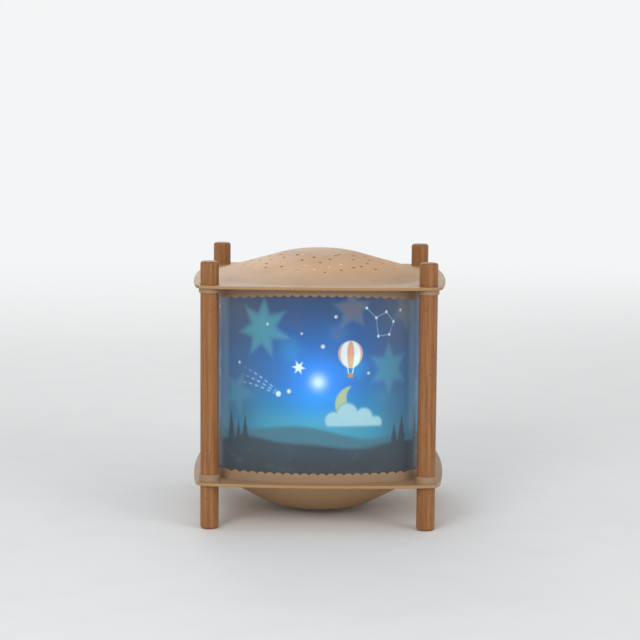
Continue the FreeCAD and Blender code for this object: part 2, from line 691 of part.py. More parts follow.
def build_top_cover():
    """Plate, pierced dome, lace collar and sleeves in one moulding, which lifts off the posts."""
    body = new_body("top_cover")
    add_plate(body, COVER_UNDERSIDE)
    add_lace_collar(
        body, COVER_UNDERSIDE, size["cover_collar_depth"], downwards=True, droop=size["cover_collar_droop"])

    run = size["dome_base_radius"] - size["dome_shoulder_radius"]
    slant = root(run * run + size["dome_height"] * size["dome_height"])
    wall = size["dome_wall"]
    peak = COVER_TOP + size["dome_height"]
    outside = new_sketch(body, "dome_outside", "XZ_Plane")
    draw_outline(outside, [
        (0, COVER_UNDERSIDE),
        (size["dome_base_radius"], COVER_UNDERSIDE),
        (size["dome_base_radius"], COVER_TOP),
        (size["dome_shoulder_radius"], peak, size["dome_cap_radius"]),
        (0, peak),
    ])
    turned(body, outside, "dome")
    foot = round_edge(COVER_TOP, size["dome_base_radius"])
    dress_edges(body, "dome_foot", "Fillet", size["dome_base_round"], foot)
    inner_base = size["dome_base_radius"] - wall * slant / size["dome_height"]
    slope = size["dome_height"] / run
    inside = new_sketch(body, "dome_inside", "XZ_Plane")
    draw_outline(inside, [
        (0, COVER_UNDERSIDE),
        (size["mouth_radius"], COVER_UNDERSIDE),
        (size["mouth_radius"], COVER_TOP + (inner_base - size["mouth_radius"]) * slope),
        (size["dome_shoulder_radius"] - wall * (slant - run) / size["dome_height"], peak - wall,
         size["dome_cap_radius"] - wall),
        (0, peak - wall),
    ])
    turned(body, inside, "dome_hollow", "Groove")
    add_star_holes(body, peak)
    add_sleeves(body, COVER_UNDERSIDE, size["cover_sleeve_depth"], downwards=True, fit=size["cover_fit"])


def add_star_holes(body, peak):
    """Small holes scattered evenly over the dome's flank, in six like sectors."""
    sectors = 6
    holes_in_sector = 15
    golden_share = (math.sqrt(5) - 1) / 2
    inner = size["star_field_inner"]
    outer = size["star_field_outer"]
    holes = new_sketch(body, "star_hole_outlines", offset=peak)
    for place in range(holes_in_sector):
        share = (place * golden_share) % 1
        radius = root(inner * inner + (outer * outer - inner * inner) * share)
        angle = math.radians(360 / sectors * (place + 0.5) / holes_in_sector)
        draw_circle(
            holes, size["star_hole_diameter"] / 2, (radius * math.cos(angle), radius * math.sin(angle)))
    depth = size["dome_height"] + size["plate_thickness"]
    sector = pocket(body, holes, "star_holes", depth, backwards=True)
    repeat_round(body, "star_sectors", [sector], sectors)


def build_diffuser():
    """The printed screen: one sheet rolled into a bulged square, lapped and riveted at the back."""
    body = new_body("diffuser")
    wall = size["screen_thickness"]
    outline = new_sketch(body, "outline", offset=TRAY_TOP)
    draw_bulged_square(outline, SCREEN_HALF, SCREEN_SIDE_RADIUS, SCREEN_CORNER_RADIUS)
    draw_bulged_square(
        outline, SCREEN_HALF - wall, SCREEN_SIDE_RADIUS - wall, SCREEN_CORNER_RADIUS - wall)
    pad(body, outline, "sheet", SCREEN_HEIGHT)
    add_lap(body, wall)
    add_lap_seam(body, wall)
    holes = new_sketch(body, "rivet_hole_outlines", "XZ_Plane", offset=-(SCREEN_HALF - 2 * wall - 1))
    for height in RIVET_HEIGHTS:
        draw_circle(holes, size["rivet_radius"] + size["hole_fit"], (0, height))
    pocket(body, holes, "rivet_holes", 2 * wall + 3, backwards=True)


def add_lap(body, wall):
    """The sheet's inner end, which lies against the inside of its outer end."""
    lap = new_sketch(body, "lap_outline", offset=TRAY_TOP)
    half = size["lap_width"] / 2
    reach = SCREEN_SIDE_RADIUS - SCREEN_HALF
    radii = (SCREEN_SIDE_RADIUS - wall, SCREEN_SIDE_RADIUS - 2 * wall)
    heights = [root(radius * radius - half * half) - reach for radius in radii]
    ends = []
    for radius, height in zip(radii, heights):
        left = Vector(-half.value, height.value, 0)
        right = Vector(half.value, height.value, 0)
        arc, first, last = draw_arc(lap, left, Vector(0, radius.value - reach.value, 0), right)
        hold_point(lap, arc, first, (-half, height))
        hold_point(lap, arc, last, (half, height))
        constrain(lap, "Radius", arc, radius)
        ends.append((arc, first, left, last, right))
    outer, outer_left, left_one, outer_right, right_one = ends[0]
    inner, inner_left, left_two, inner_right, right_two = ends[1]
    left_edge = lap.addGeometry(Part.LineSegment(left_one, left_two))
    right_edge = lap.addGeometry(Part.LineSegment(right_one, right_two))
    constrain(lap, "Coincident", outer, outer_left, left_edge, 1)
    constrain(lap, "Coincident", left_edge, 2, inner, inner_left)
    constrain(lap, "Coincident", outer, outer_right, right_edge, 1)
    constrain(lap, "Coincident", right_edge, 2, inner, inner_right)
    pad(body, lap, "lap", SCREEN_HEIGHT)


def add_lap_seam(body, wall):
    """The line where the sheet's outer end stops, cut through the outer layer only."""
    seam = new_sketch(body, "seam_outline", offset=TRAY_TOP)
    left = size["lap_seam_offset"] - size["lap_seam_width"] / 2
    right = size["lap_seam_offset"] + size["lap_seam_width"] / 2
    reach = SCREEN_SIDE_RADIUS - SCREEN_HALF
    inside = SCREEN_SIDE_RADIUS - wall
    floor = root(inside * inside - right * right) - reach
    draw_outline(seam, [(left, floor), (right, floor), (right, SCREEN_HALF + 1), (left, SCREEN_HALF + 1)])
    pocket(body, seam, "seam", SCREEN_HEIGHT)


def build_screen_rivets():
    """Snap rivets through the lap: a round head outside and a smaller one inside."""
    body = new_body("screen_rivets", many=True)
    inner_face = SCREEN_HALF - 2 * size["screen_thickness"]
    tail_height = size["rivet_head_height"] * 0.8
    shank_start = inner_face - size["hole_fit"]
    steps = [
        ("heads", SCREEN_HALF, size["rivet_head_height"], size["rivet_head_radius"]),
        ("shanks", shank_start, SCREEN_HALF - shank_start, size["rivet_radius"]),
        ("tails", shank_start - tail_height, tail_height, size["rivet_head_radius"] * 0.8),
    ]
    for name, start, length, radius in steps:
        outline = new_sketch(body, f"{name}_outline", "XZ_Plane", offset=-start)
        for height in RIVET_HEIGHTS:
            draw_circle(outline, radius, (0, height))
        pad(body, outline, name, length, backwards=True)
    face = SCREEN_HALF + size["rivet_head_height"]

    def outer_rim(edge):
        return isinstance(edge.Curve, Part.Circle) and abs(edge.Curve.Center.y - face.value) < 1e-4

    dress_edges(body, "head_edges", "Fillet", size["rivet_head_height"] * 0.6, outer_rim)


def build_access_cover():
    """Vented disc that closes the dish's flat bottom, flush with it."""
    body = new_body("access_cover")
    outline = new_sketch(body, "outline", offset=DISH_BOTTOM)
    draw_circle(outline, size["access_radius"] - size["access_fit"])
    pad(body, outline, "disc", size["access_thickness"])
    vent = new_sketch(body, "vent_outline", offset=DISH_BOTTOM)
    half = size["vent_width"] / 2
    soft = half * 0.9
    draw_outline(vent, [
        (size["vent_inner"], -half, soft),
        (size["vent_outer"], -half, soft),
        (size["vent_outer"], half, soft),
        (size["vent_inner"], half, soft),
    ])
    slot = pocket(body, vent, "vent", size["access_thickness"])
    repeat_round(body, "vents", [slot], VENT_COUNT)
    hole = new_sketch(body, "screw_hole_outline", offset=DISH_BOTTOM)
    hole_radius = size["access_screw_radius"] + size["hole_fit"]
    draw_circle(hole, hole_radius, (0, size["access_screw_circle"]))
    screw_hole = pocket(body, hole, "screw_hole", size["access_thickness"])
    repeat_round(body, "screw_holes", [screw_hole], ACCESS_SCREW_COUNT)
    sink = size["access_screw_head"] - size["access_screw_radius"]
    dress_edges(body, "countersinks", "Chamfer", sink, round_edge(DISH_BOTTOM, hole_radius))


def build_access_screws():
    """Countersunk screws, flush with the access cover."""
    body = new_body("access_screws", many=True)
    outline = new_sketch(body, "outline", "XZ_Plane", shift=size["access_screw_circle"])
    head = size["access_screw_head"]
    shank = size["access_screw_radius"]
    draw_outline(outline, [
        (0, DISH_BOTTOM),
        (head, DISH_BOTTOM),
        (shank, DISH_BOTTOM + (head - shank)),
        (shank, DISH_BOTTOM + size["access_screw_length"]),
        (0, DISH_BOTTOM + size["access_screw_length"]),
    ])
    screw = turned(body, outline, "screw")
    repeat_round(body, "screws", [screw], ACCESS_SCREW_COUNT)
    body.Placement.Rotation = FreeCAD.Rotation(Vector(0, 0, 1), 90)


def build_cord_bush():
    """Soft bush of the cord inlet, with its flange outside. Its axis points backwards."""
    body = new_body("cord_bush")
    outline = new_sketch(body, "outline", "XZ_Plane")
    draw_outline(outline, [
        (size["bush_bore_radius"], -size["bush_length"]),
        (size["bush_radius"], -size["bush_length"]),
        (size["bush_radius"], 0),
        (size["bush_flange_radius"], 0),
        (size["bush_flange_radius"], size["bush_flange_thickness"], size["bush_flange_thickness"] * 0.5),
        (size["bush_bore_radius"], size["bush_flange_thickness"]),
    ])
    turned(body, outline, "bush")
    body.Placement.Rotation = FreeCAD.Rotation(Vector(1, 0, 0), -90)
    body.setExpression(".Placement.Base.y", words(size["inlet_face"]))
    body.setExpression(".Placement.Base.z", words(size["inlet_height"]))


def build_holder_bracket():
    """Steel strip across the dish's bosses, which carries the lampholder and the pivot bridge."""
    body = new_body("holder_bracket")
    outline = new_sketch(body, "outline", offset=size["boss_top"])
    half_length = BOSS_HALF + size["bracket_overhang"]
    half_width = size["bracket_width"] / 2
    corner = half_width * 0.4
    draw_outline(outline, [
        (-half_length, -half_width, corner),
        (half_length, -half_width, corner),
        (half_length, half_width, corner),
        (-half_length, half_width, corner),
    ])
    pad(body, outline, "strip", size["bracket_thickness"])
    holes = new_sketch(body, "hole_outlines", offset=size["boss_top"])
    draw_circle(holes, size["nipple_radius"] + size["hole_fit"])
    for side in (-1, 1):
        draw_circle(holes, size["bracket_screw_radius"] + size["hole_fit"], (BOSS_HALF * side, 0))
        draw_circle(holes, size["bridge_wire_radius"] + size["hole_fit"], (BRIDGE_HALF * side, 0))
    pocket(body, holes, "holes", size["bracket_thickness"])


def build_bracket_screws():
    """Pan-head screws that hold the bracket on its bosses."""
    body = new_body("bracket_screws", many=True)
    heads = new_sketch(body, "head_outlines", offset=BRACKET_TOP)
    shanks = new_sketch(body, "shank_outlines", offset=BRACKET_TOP)
    for side in (-1, 1):
        draw_circle(heads, size["bracket_screw_head"], (BOSS_HALF * side, 0))
        draw_circle(shanks, size["bracket_screw_radius"], (BOSS_HALF * side, 0))
    pad(body, heads, "heads", size["bracket_screw_head_height"])
    pad(body, shanks, "shanks", size["bracket_screw_length"], backwards=True)
    crown = level_edge([BRACKET_TOP + size["bracket_screw_head_height"]])
    dress_edges(body, "crowns", "Fillet", size["bracket_screw_head_height"] * 0.4, crown)


def build_lampholder_body():
    """Moulded lampholder: a thick foot with terminal pockets, a barrel and a threaded stub below."""
    body = new_body("lampholder_body")
    foot_top = BRACKET_TOP + size["holder_base_height"]
    outline = new_sketch(body, "outline", "XZ_Plane")
    draw_outline(outline, [
        (0, BRACKET_TOP - size["nipple_length"]),
        (size["nipple_radius"], BRACKET_TOP - size["nipple_length"]),
        (size["nipple_radius"], BRACKET_TOP),
        (size["holder_base_radius"], BRACKET_TOP),
        (size["holder_base_radius"], foot_top),
        (size["holder_radius"], foot_top + (size["holder_base_radius"] - size["holder_radius"])),
        (size["holder_radius"], HOLDER_TOP, size["holder_edge_round"]),
        (0, HOLDER_TOP),
    ])
    turned(body, outline, "barrel")
    bore = new_sketch(body, "bore_outline", offset=BORE_FLOOR)
    draw_circle(bore, size["holder_bore_radius"])
    pocket(body, bore, "bore", HOLDER_TOP - BORE_FLOOR)
    pockets = new_sketch(body, "terminal_outlines", offset=TERMINAL_FLOOR)
    half = size["terminal_side"] / 2 + size["hole_fit"]
    for side in (-1, 1):
        middle = size["terminal_offset"] * side
        draw_outline(pockets, [
            (-half, middle - half), (half, middle - half), (half, middle + half), (-half, middle + half)])
    pocket(body, pockets, "terminal_pockets", BORE_FLOOR - TERMINAL_FLOOR)


def build_lampholder_terminals():
    """Two brass blocks in the lampholder's foot, where a lead would be clamped."""
    body = new_body("lampholder_terminals", many=True)
    outline = new_sketch(body, "outline", offset=TERMINAL_FLOOR)
    half = size["terminal_side"] / 2
    for side in (-1, 1):
        middle = size["terminal_offset"] * side
        draw_outline(outline, [
            (-half, middle - half), (half, middle - half), (half, middle + half), (-half, middle + half)])
    pad(body, outline, "blocks", size["terminal_height"])


def draw_hexagon(sketch, across_flats, place=(0, 0)):
    """A hexagon of a width across flats around a place."""
    corner_radius = across_flats / math.sqrt(3)
    draw_outline(sketch, [
        (place[0] + corner_radius * math.cos(math.radians(60 * turn)),
         place[1] + corner_radius * math.sin(math.radians(60 * turn)))
        for turn in range(6)])


def build_lampholder_nut():
    """Nut on the lampholder's stub, under the bracket."""
    body = new_body("lampholder_nut")
    outline = new_sketch(body, "outline", offset=size["boss_top"])
    draw_hexagon(outline, size["holder_nut_width"])
    draw_circle(outline, size["nipple_radius"] + size["press_fit"])
    pad(body, outline, "nut", size["holder_nut_height"], backwards=True)


def build_lampholder_shell():
    """Contact sleeve inside the lampholder's bore."""
    body = new_body("lampholder_shell")
    outline = new_sketch(body, "outline", offset=BORE_FLOOR + size["shell_lift"])
    outside = size["holder_bore_radius"] - size["press_fit"]
    draw_circle(outline, outside)
    draw_circle(outline, outside - size["shell_wall"])
    pad(body, outline, "sleeve", size["shell_height"])


def build_lampholder_contact():
    """Sprung strip on the bore's floor, with a raised tongue under the bulb's contact."""
    body = new_body("lampholder_contact")
    outline = new_sketch(body, "outline", "XZ_Plane", offset=-(size["contact_width"] / 2))
    half = size["contact_length"] / 2
    sheet_gauge = size["contact_thickness"]
    top = BUTTON_BOTTOM - size["press_fit"]
    tongue = size["button_radius"]
    draw_outline(outline, [
        (-half, BORE_FLOOR),
        (half, BORE_FLOOR),
        (half, BORE_FLOOR + sheet_gauge),
        (-half + 1.6 * sheet_gauge, BORE_FLOOR + sheet_gauge),
        (-tongue * 0.6, top - sheet_gauge),
        (tongue, top - sheet_gauge),
        (tongue, top),
        (-tongue * 0.7, top),
        (-half, BORE_FLOOR + 2 * sheet_gauge),
    ])
    pad(body, outline, "strip", size["contact_width"])


def build_bulb():
    """A small clear bulb: cap, insulator, contact button, glass, stem, supports and filament."""
    cap = new_body("bulb_cap")
    ring = new_sketch(cap, "outline", offset=size["cap_bottom"])
    draw_circle(ring, size["cap_radius"])
    draw_circle(ring, size["cap_radius"] - size["cap_wall"])
    pad(cap, ring, "shell", size["cap_height"])

    insulator = new_body("bulb_insulator")
    inside = size["cap_radius"] - size["cap_wall"] - size["press_fit"]
    outline = new_sketch(insulator, "outline", "XZ_Plane")
    draw_outline(outline, [
        (0, INSULATOR_BOTTOM),
        (size["insulator_radius"], INSULATOR_BOTTOM),
        (inside, size["cap_bottom"]),
        (inside, size["cap_bottom"] + size["insulator_height"]),
        (0, size["cap_bottom"] + size["insulator_height"]),
    ])
    turned(insulator, outline, "plug")

    contact = new_body("bulb_contact")
    button = new_sketch(contact, "outline", offset=BUTTON_BOTTOM)
    draw_circle(button, size["button_radius"])
    pad(contact, button, "button", size["button_height"])
    dress_edges(contact, "edge", "Fillet", size["button_height"] * 0.4, level_edge([BUTTON_BOTTOM]))

    build_bulb_glass()
    build_bulb_inside()


def draw_bulb_profile(sketch, wall):
    """Half the outline of the bulb's envelope, set in by a wall thickness."""
    neck = size["glass_neck_radius"] - wall
    widest = size["glass_radius"] - wall
    neck_rise = 3
    shoulder_rise = 15
    neck_bend = 4
    shoulder_bend = 12
    crown_bend = widest * 0.97
    shoulder = CAP_TOP + shoulder_rise
    draw_outline(sketch, [
        (0, GLASS_BOTTOM),
        (neck, GLASS_BOTTOM),
        (neck, CAP_TOP + neck_rise, wall + neck_bend),
        (widest, shoulder, shoulder_bend - wall),
        (widest, GLASS_TOP - wall, crown_bend),
        (0, GLASS_TOP - wall),
    ])


def build_bulb_glass():
    """The clear envelope, open at its neck where the stem closes it."""
    body = new_body("bulb_glass")
    outside = new_sketch(body, "outside", "XZ_Plane")
    draw_bulb_profile(outside, size["press_fit"])
    turned(body, outside, "envelope")
    inside = new_sketch(body, "inside", "XZ_Plane")
    draw_bulb_profile(inside, size["glass_wall"])
    turned(body, inside, "hollow", "Groove")


def build_bulb_inside():
    """Stem, the two supports that stand on it and the filament between them."""
    stem = new_body("bulb_stem")
    flare = size["glass_neck_radius"] - size["glass_wall"] - size["press_fit"]
    outline = new_sketch(stem, "outline", "XZ_Plane")
    draw_outline(outline, [
        (0, GLASS_BOTTOM),
        (flare, GLASS_BOTTOM),
        (flare, GLASS_BOTTOM + 1),
        (size["stem_radius"], GLASS_BOTTOM + 4),
        (size["stem_radius"], STEM_TOP),
        (0, STEM_TOP),
    ])
    turned(stem, outline, "stem")

    wire = size["filament_radius"]
    half_span = size["filament_span"] / 2
    supports = new_body("filament_supports", many=True)
    foot = size["stem_radius"] * 0.6
    top = size["filament_height"] - wire - size["press_fit"]
    for name, side in (("left", -1), ("right", 1)):
        path = new_sketch(supports, f"path_{name}", "XZ_Plane")
        draw_outline(path, [(foot * side, STEM_TOP), (half_span * side, top)], closed=False)
        section = new_sketch(supports, f"section_{name}", offset=STEM_TOP)
        draw_circle(section, wire, (foot * side, 0))
        add_pipe(supports, f"wire_{name}", section, path)

    filament = new_body("bulb_filament")
    path = new_sketch(filament, "path", "XZ_Plane")
    end = half_span + wire
    draw_outline(path, [
        (-end, size["filament_height"]),
        (-half_span * 0.5, size["filament_height"] + size["filament_rise"], half_span * 0.5),
        (half_span * 0.5, size["filament_height"] + size["filament_rise"], half_span * 0.5),
        (end, size["filament_height"]),
    ], closed=False)
    section = new_sketch(filament, "section", "YZ_Plane", offset=-end)
    draw_circle(section, wire, (0, size["filament_height"]))
    add_pipe(filament, "coil", section, path)


def add_pipe(body, name, section, path):
    """Adds the section swept along a path."""
    feature = body.newObject("PartDesign::AdditivePipe", f"{body.Label}_{name}")
    feature.Profile = section
    feature.Spine = path
    return feature


def build_pivot_bridge():
    """Wire arch over the bulb, with an eye at its top that holds the needle."""
    body = new_body("pivot_bridge")
    tail = size["boss_top"] - size["bridge_tail"]
    path = new_sketch(body, "path", "XZ_Plane")
    draw_outline(path, [
        (-BRIDGE_HALF, tail),
        (-BRIDGE_HALF, size["bridge_height"], size["bridge_bend_radius"]),
        (BRIDGE_HALF, size["bridge_height"], size["bridge_bend_radius"]),
        (BRIDGE_HALF, tail),
    ], closed=False)
    section = new_sketch(body, "section", offset=tail)
    draw_circle(section, size["bridge_wire_radius"], (-BRIDGE_HALF, 0))
    add_pipe(body, "wire", section, path)
    eye = new_sketch(body, "eye_outline", offset=EYE_BOTTOM)
    draw_circle(eye, size["eye_radius"])
    pad(body, eye, "eye", size["eye_height"])
    bore = new_sketch(body, "eye_bore_outline", offset=EYE_BOTTOM)
    draw_circle(bore, size["needle_radius"] + size["press_fit"])
    pocket(body, bore, "eye_bore", size["eye_height"])


def build_bridge_nuts():
    """Nuts on the bridge's legs, under the bracket."""
    body = new_body("bridge_nuts", many=True)
    outline = new_sketch(body, "outline", offset=size["boss_top"])
    for side in (-1, 1):
        draw_hexagon(outline, size["bridge_nut_width"], (BRIDGE_HALF * side, 0))
        draw_circle(outline, size["bridge_wire_radius"] + size["press_fit"], (BRIDGE_HALF * side, 0))
    pad(body, outline, "nuts", size["bridge_nut_height"], backwards=True)


def build_pivot_needle():
    """Steel needle in the bridge's eye, with a fine point upwards."""
    body = new_body("pivot_needle")
    outline = new_sketch(body, "outline", "XZ_Plane")
    draw_outline(outline, [
        (0, EYE_BOTTOM),
        (size["needle_radius"], EYE_BOTTOM),
        (size["needle_radius"], NEEDLE_TIP - size["needle_taper"]),
        (size["needle_point_radius"], NEEDLE_TIP),
        (0, NEEDLE_TIP),
    ])
    turned(body, outline, "needle")


def build_pivot_cup():
    """Bearing cup in the wheel's hub: a plain plug with a conical recess over the needle."""
    body = new_body("pivot_cup")
    outline = new_sketch(body, "outline", "XZ_Plane")
    draw_outline(outline, [
        (0, size["pivot_height"]),
        (size["cup_recess_radius"], CUP_BOTTOM),
        (size["cup_radius"], CUP_BOTTOM),
        (size["cup_radius"], CUP_TOP),
        (0, CUP_TOP),
    ])
    turned(body, outline, "cup")


def build_turbine_wheel():
    """The wheel that warm air turns: rim, slanted vanes, and a hub with a boss over the needle."""
    body = new_body("turbine_wheel")
    rim = new_sketch(body, "rim_outline", offset=RIM_BOTTOM)
    draw_circle(rim, RIM_OUTSIDE)
    draw_circle(rim, RIM_OUTSIDE - size["rim_width"])
    pad(body, rim, "rim", size["rim_height"])

    root_radius = size["hub_disc_radius"] * 0.92
    blade = new_sketch(body, "vane_outline", "YZ_Plane", offset=root_radius)
    run = size["vane_run"]
    gauge = size["vane_thickness"]
    vane_bottom = RIM_MIDDLE - size["vane_rise"] / 2
    vane_top = RIM_MIDDLE + size["vane_rise"] / 2
    draw_outline(blade, [
        (-(run + gauge) / 2, vane_bottom),
        ((gauge - run) / 2, vane_bottom),
        ((run + gauge) / 2, vane_top),
        ((run - gauge) / 2, vane_top),
    ])
    vane = pad(body, blade, "vane", RIM_OUTSIDE - size["rim_width"] * 0.4 - root_radius)
    repeat_round(body, "vanes", [vane], size["vane_count"])

    disc = new_sketch(body, "disc_outline", offset=RIM_MIDDLE - size["hub_disc_thickness"] / 2)
    draw_circle(disc, size["hub_disc_radius"])
    pad(body, disc, "disc", size["hub_disc_thickness"])
    bore_radius = size["cup_radius"] + size["press_fit"]
    boss_bottom = RIM_MIDDLE - size["hub_disc_thickness"] / 2
    boss_top = CUP_TOP + size["hub_roof"]
    boss = new_sketch(body, "boss_outline", offset=boss_bottom)
    draw_circle(boss, bore_radius + size["hub_wall"])
    pad(body, boss, "boss", boss_top - boss_bottom)
    bore = new_sketch(body, "bore_outline", offset=boss_bottom)
    draw_circle(bore, bore_radius)
    pocket(body, bore, "bore", CUP_TOP - boss_bottom)


def build_drum_film():
    """The printed film drum, fixed around the wheel's rim."""
    body = new_body("drum_film")
    outline = new_sketch(body, "outline", offset=size["drum_bottom"])
    draw_circle(outline, size["drum_radius"])
    draw_circle(outline, FILM_INSIDE)
    pad(body, outline, "film", size["drum_height"])
    hole = new_sketch(body, "rivet_hole_outline", "YZ_Plane", offset=RIM_OUTSIDE)
    draw_circle(hole, size["drum_rivet_radius"] + size["press_fit"], (0, RIM_MIDDLE))
    rivet_hole = pocket(body, hole, "rivet_hole", 2 * size["film_thickness"])
    repeat_round(body, "rivet_holes", [rivet_hole], DRUM_RIVET_COUNT)


def build_lower_hoop():
    """Ring inside the film's lower edge, which keeps it round."""
    body = new_body("lower_hoop")
    outline = new_sketch(body, "outline", offset=size["drum_bottom"])
    draw_circle(outline, FILM_INSIDE - size["press_fit"])
    draw_circle(outline, FILM_INSIDE - size["press_fit"] - size["hoop_width"])
    pad(body, outline, "hoop", size["hoop_height"])


def build_drum_rivets():
    """Small rivets that hold the film against the wheel's rim."""
    body = new_body("drum_rivets", many=True)
    shank_outline = new_sketch(body, "shank_outline", "YZ_Plane", offset=RIM_OUTSIDE)
    draw_circle(shank_outline, size["drum_rivet_radius"], (0, RIM_MIDDLE))
    shank = pad(body, shank_outline, "shank", size["drum_radius"] - RIM_OUTSIDE)
    head_outline = new_sketch(body, "head_outline", "YZ_Plane", offset=size["drum_radius"])
    draw_circle(head_outline, size["drum_rivet_head"], (0, RIM_MIDDLE))
    head = pad(body, head_outline, "head", size["drum_rivet_head_height"])
    repeat_round(body, "rivets", [shank, head], DRUM_RIVET_COUNT)


def build_all():
    """Makes every sub-part and settles the document."""
    build_posts()
    build_base_tray()
    build_diffuser()
    build_screen_rivets()
    build_cord_bush()
    build_access_cover()
    build_access_screws()
    build_holder_bracket()
    build_bracket_screws()
    build_lampholder_body()
    build_lampholder_nut()
    build_lampholder_shell()
    build_lampholder_contact()
    build_lampholder_terminals()
    build_bulb()
    build_pivot_bridge()
    build_bridge_nuts()
    build_pivot_needle()
    build_top_cover()
    build_drum_film()
    build_turbine_wheel()
    build_pivot_cup()
    build_lower_hoop()
    build_drum_rivets()
    document.recompute()


def check_all():
    """Stops if any object failed or any sub-part's shape is missing or bad."""
    for item in document.Objects:
        if "Invalid" in item.State or "Error" in item.State:
            raise RuntimeError(f"{item.Label} failed: {item.State}")
        if item.isDerivedFrom("Sketcher::SketchObject") and item.solve() != 0:
            raise RuntimeError(f"{item.Label} has no solution")
    bodies = document.findObjects("PartDesign::Body")
    for body in bodies:
        if body.Shape.isNull() or not body.Shape.isValid() or not body.Shape.Solids:
            raise RuntimeError(f"{body.Label} has no good shape")
    return bodies


def write_all(bodies):
    """Writes each sub-part to its own file."""
    os.makedirs("parts", exist_ok=True)
    for body in bodies:
        body.Shape.exportStep(f"parts/{body.Label}.step")
        print(f"{body.Label}: {len(body.Shape.Solids)} solid(s), {body.Shape.Volume:.1f} mm3")


build_all()
write_all(check_all())
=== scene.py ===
import logging
import math
from collections.abc import Callable
from dataclasses import dataclass, fields
from enum import Enum
from functools import lru_cache

import bpy
from mathutils import Matrix, Vector


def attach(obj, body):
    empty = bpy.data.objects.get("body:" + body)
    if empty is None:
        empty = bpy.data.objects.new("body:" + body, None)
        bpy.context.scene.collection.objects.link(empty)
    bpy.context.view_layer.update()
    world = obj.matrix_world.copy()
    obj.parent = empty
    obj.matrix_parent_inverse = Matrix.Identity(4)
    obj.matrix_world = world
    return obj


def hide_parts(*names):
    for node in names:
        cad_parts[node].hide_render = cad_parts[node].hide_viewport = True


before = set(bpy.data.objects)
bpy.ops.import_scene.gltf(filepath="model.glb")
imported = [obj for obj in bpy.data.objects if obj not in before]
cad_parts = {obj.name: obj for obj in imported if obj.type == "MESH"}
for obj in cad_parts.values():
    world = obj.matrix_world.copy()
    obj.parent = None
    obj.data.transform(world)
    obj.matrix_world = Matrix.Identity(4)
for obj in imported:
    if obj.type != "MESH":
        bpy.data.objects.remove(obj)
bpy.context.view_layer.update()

# Looks of the rotating night lamp: lit as in use, on a plain pale floor.
# Lengths are in metres unless a name ends in _mm. The front of the lamp faces -Y.

MM = 0.001
log = logging.getLogger("motion_lamp")
Material, Piece, Socket, Tree = (
    bpy.types.Material, bpy.types.Object, bpy.types.NodeSocket, bpy.types.NodeTree)


def linear(code: str) -> tuple[float, float, float, float]:
    """Turns an sRGB colour, a hash and six digits, into the linear values that shaders take."""
    shares = [int(code[place:place + 2], 16) / 255 for place in (1, 3, 5)]
    return tuple(s / 12.92 if s <= 0.04045 else ((s + 0.055) / 1.055) ** 2.4 for s in shares) + (1.0,)


def feed(tree: Tree, node: bpy.types.Node, inputs: dict) -> None:
    """Sets or links a node's inputs.

    Args:
        tree: the shader or geometry tree that has the node.
        node: the node.
        inputs: for each input, by name or place, a value, a socket, a Field, a tuple with
            Fields in it for a vector, or a list of sockets for an input that takes many.
    """
    for name, value in inputs.items():
        if isinstance(value, tuple) and any(isinstance(part, Field) for part in value):
            value = add_node(tree, "ShaderNodeCombineXYZ", dict(enumerate(value))).outputs[0]
        source = value.socket if isinstance(value, Field) else value
        if isinstance(source, (Socket, list)):
            for end in source if isinstance(source, list) else [source]:
                tree.links.new(end, node.inputs[name])
        else:
            node.inputs[name].default_value = source


def add_node(tree: Tree, kind: str, inputs: dict | None = None, **settings: object) -> bpy.types.Node:
    """Adds a node.

    Args:
        tree: the shader or geometry tree that gets the node.
        kind: Blender's name for the node's type.
        inputs: what its inputs get, as feed takes them.
        settings: the node's own properties.

    Returns:
        The new node.
    """
    node = tree.nodes.new(kind)
    for name, value in settings.items():
        setattr(node, name, value)
    feed(tree, node, inputs or {})
    return node


def sign(operation: str) -> Callable[["Field", "Field | float"], "Field"]:
    """The method behind a sign of arithmetic."""
    return lambda number, other: number.apply(operation, other)


class Field:
    """A number that varies over a surface, with ordinary arithmetic."""

    def __init__(self, tree: Tree, socket: Socket) -> None:
        """Keeps the tree and the socket that carries the number."""
        self.tree = tree
        self.socket = socket

    def apply(self, operation: str, *others: "Field | float") -> "Field":
        """The result of an operation, by Blender's name for it, on this number and others."""
        operands = dict(enumerate((self, *others)))
        node = add_node(self.tree, "ShaderNodeMath", operands, operation=operation)
        return Field(self.tree, node.outputs[0])

    __add__, __sub__, __mul__, __truediv__ = map(sign, ("ADD", "SUBTRACT", "MULTIPLY", "DIVIDE"))

    def ramp(self, low: float, high: float) -> "Field":
        """Rises smoothly from 0 at low to 1 at high, or falls where low is the larger."""
        start, end = (low, high) if low < high else (high, low)
        node = add_node(self.tree, "ShaderNodeMapRange", {0: self, 1: start, 2: end},
                        interpolation_type="SMOOTHSTEP")
        risen = Field(self.tree, node.outputs[0])
        return risen if low < high else risen * -1.0 + 1.0

    def bell(self, width: float) -> "Field":
        """A bell curve of this number, 1 at zero and 0.37 at the width."""
        share = self / width
        return (share * share * -1.0).apply("EXPONENT")


def axes_of(tree: Tree, place: Socket) -> tuple[Field, Field, Field]:
    """The three numbers of a place."""
    parts = add_node(tree, "ShaderNodeSeparateXYZ", {0: place})
    return tuple(Field(tree, socket) for socket in parts.outputs)


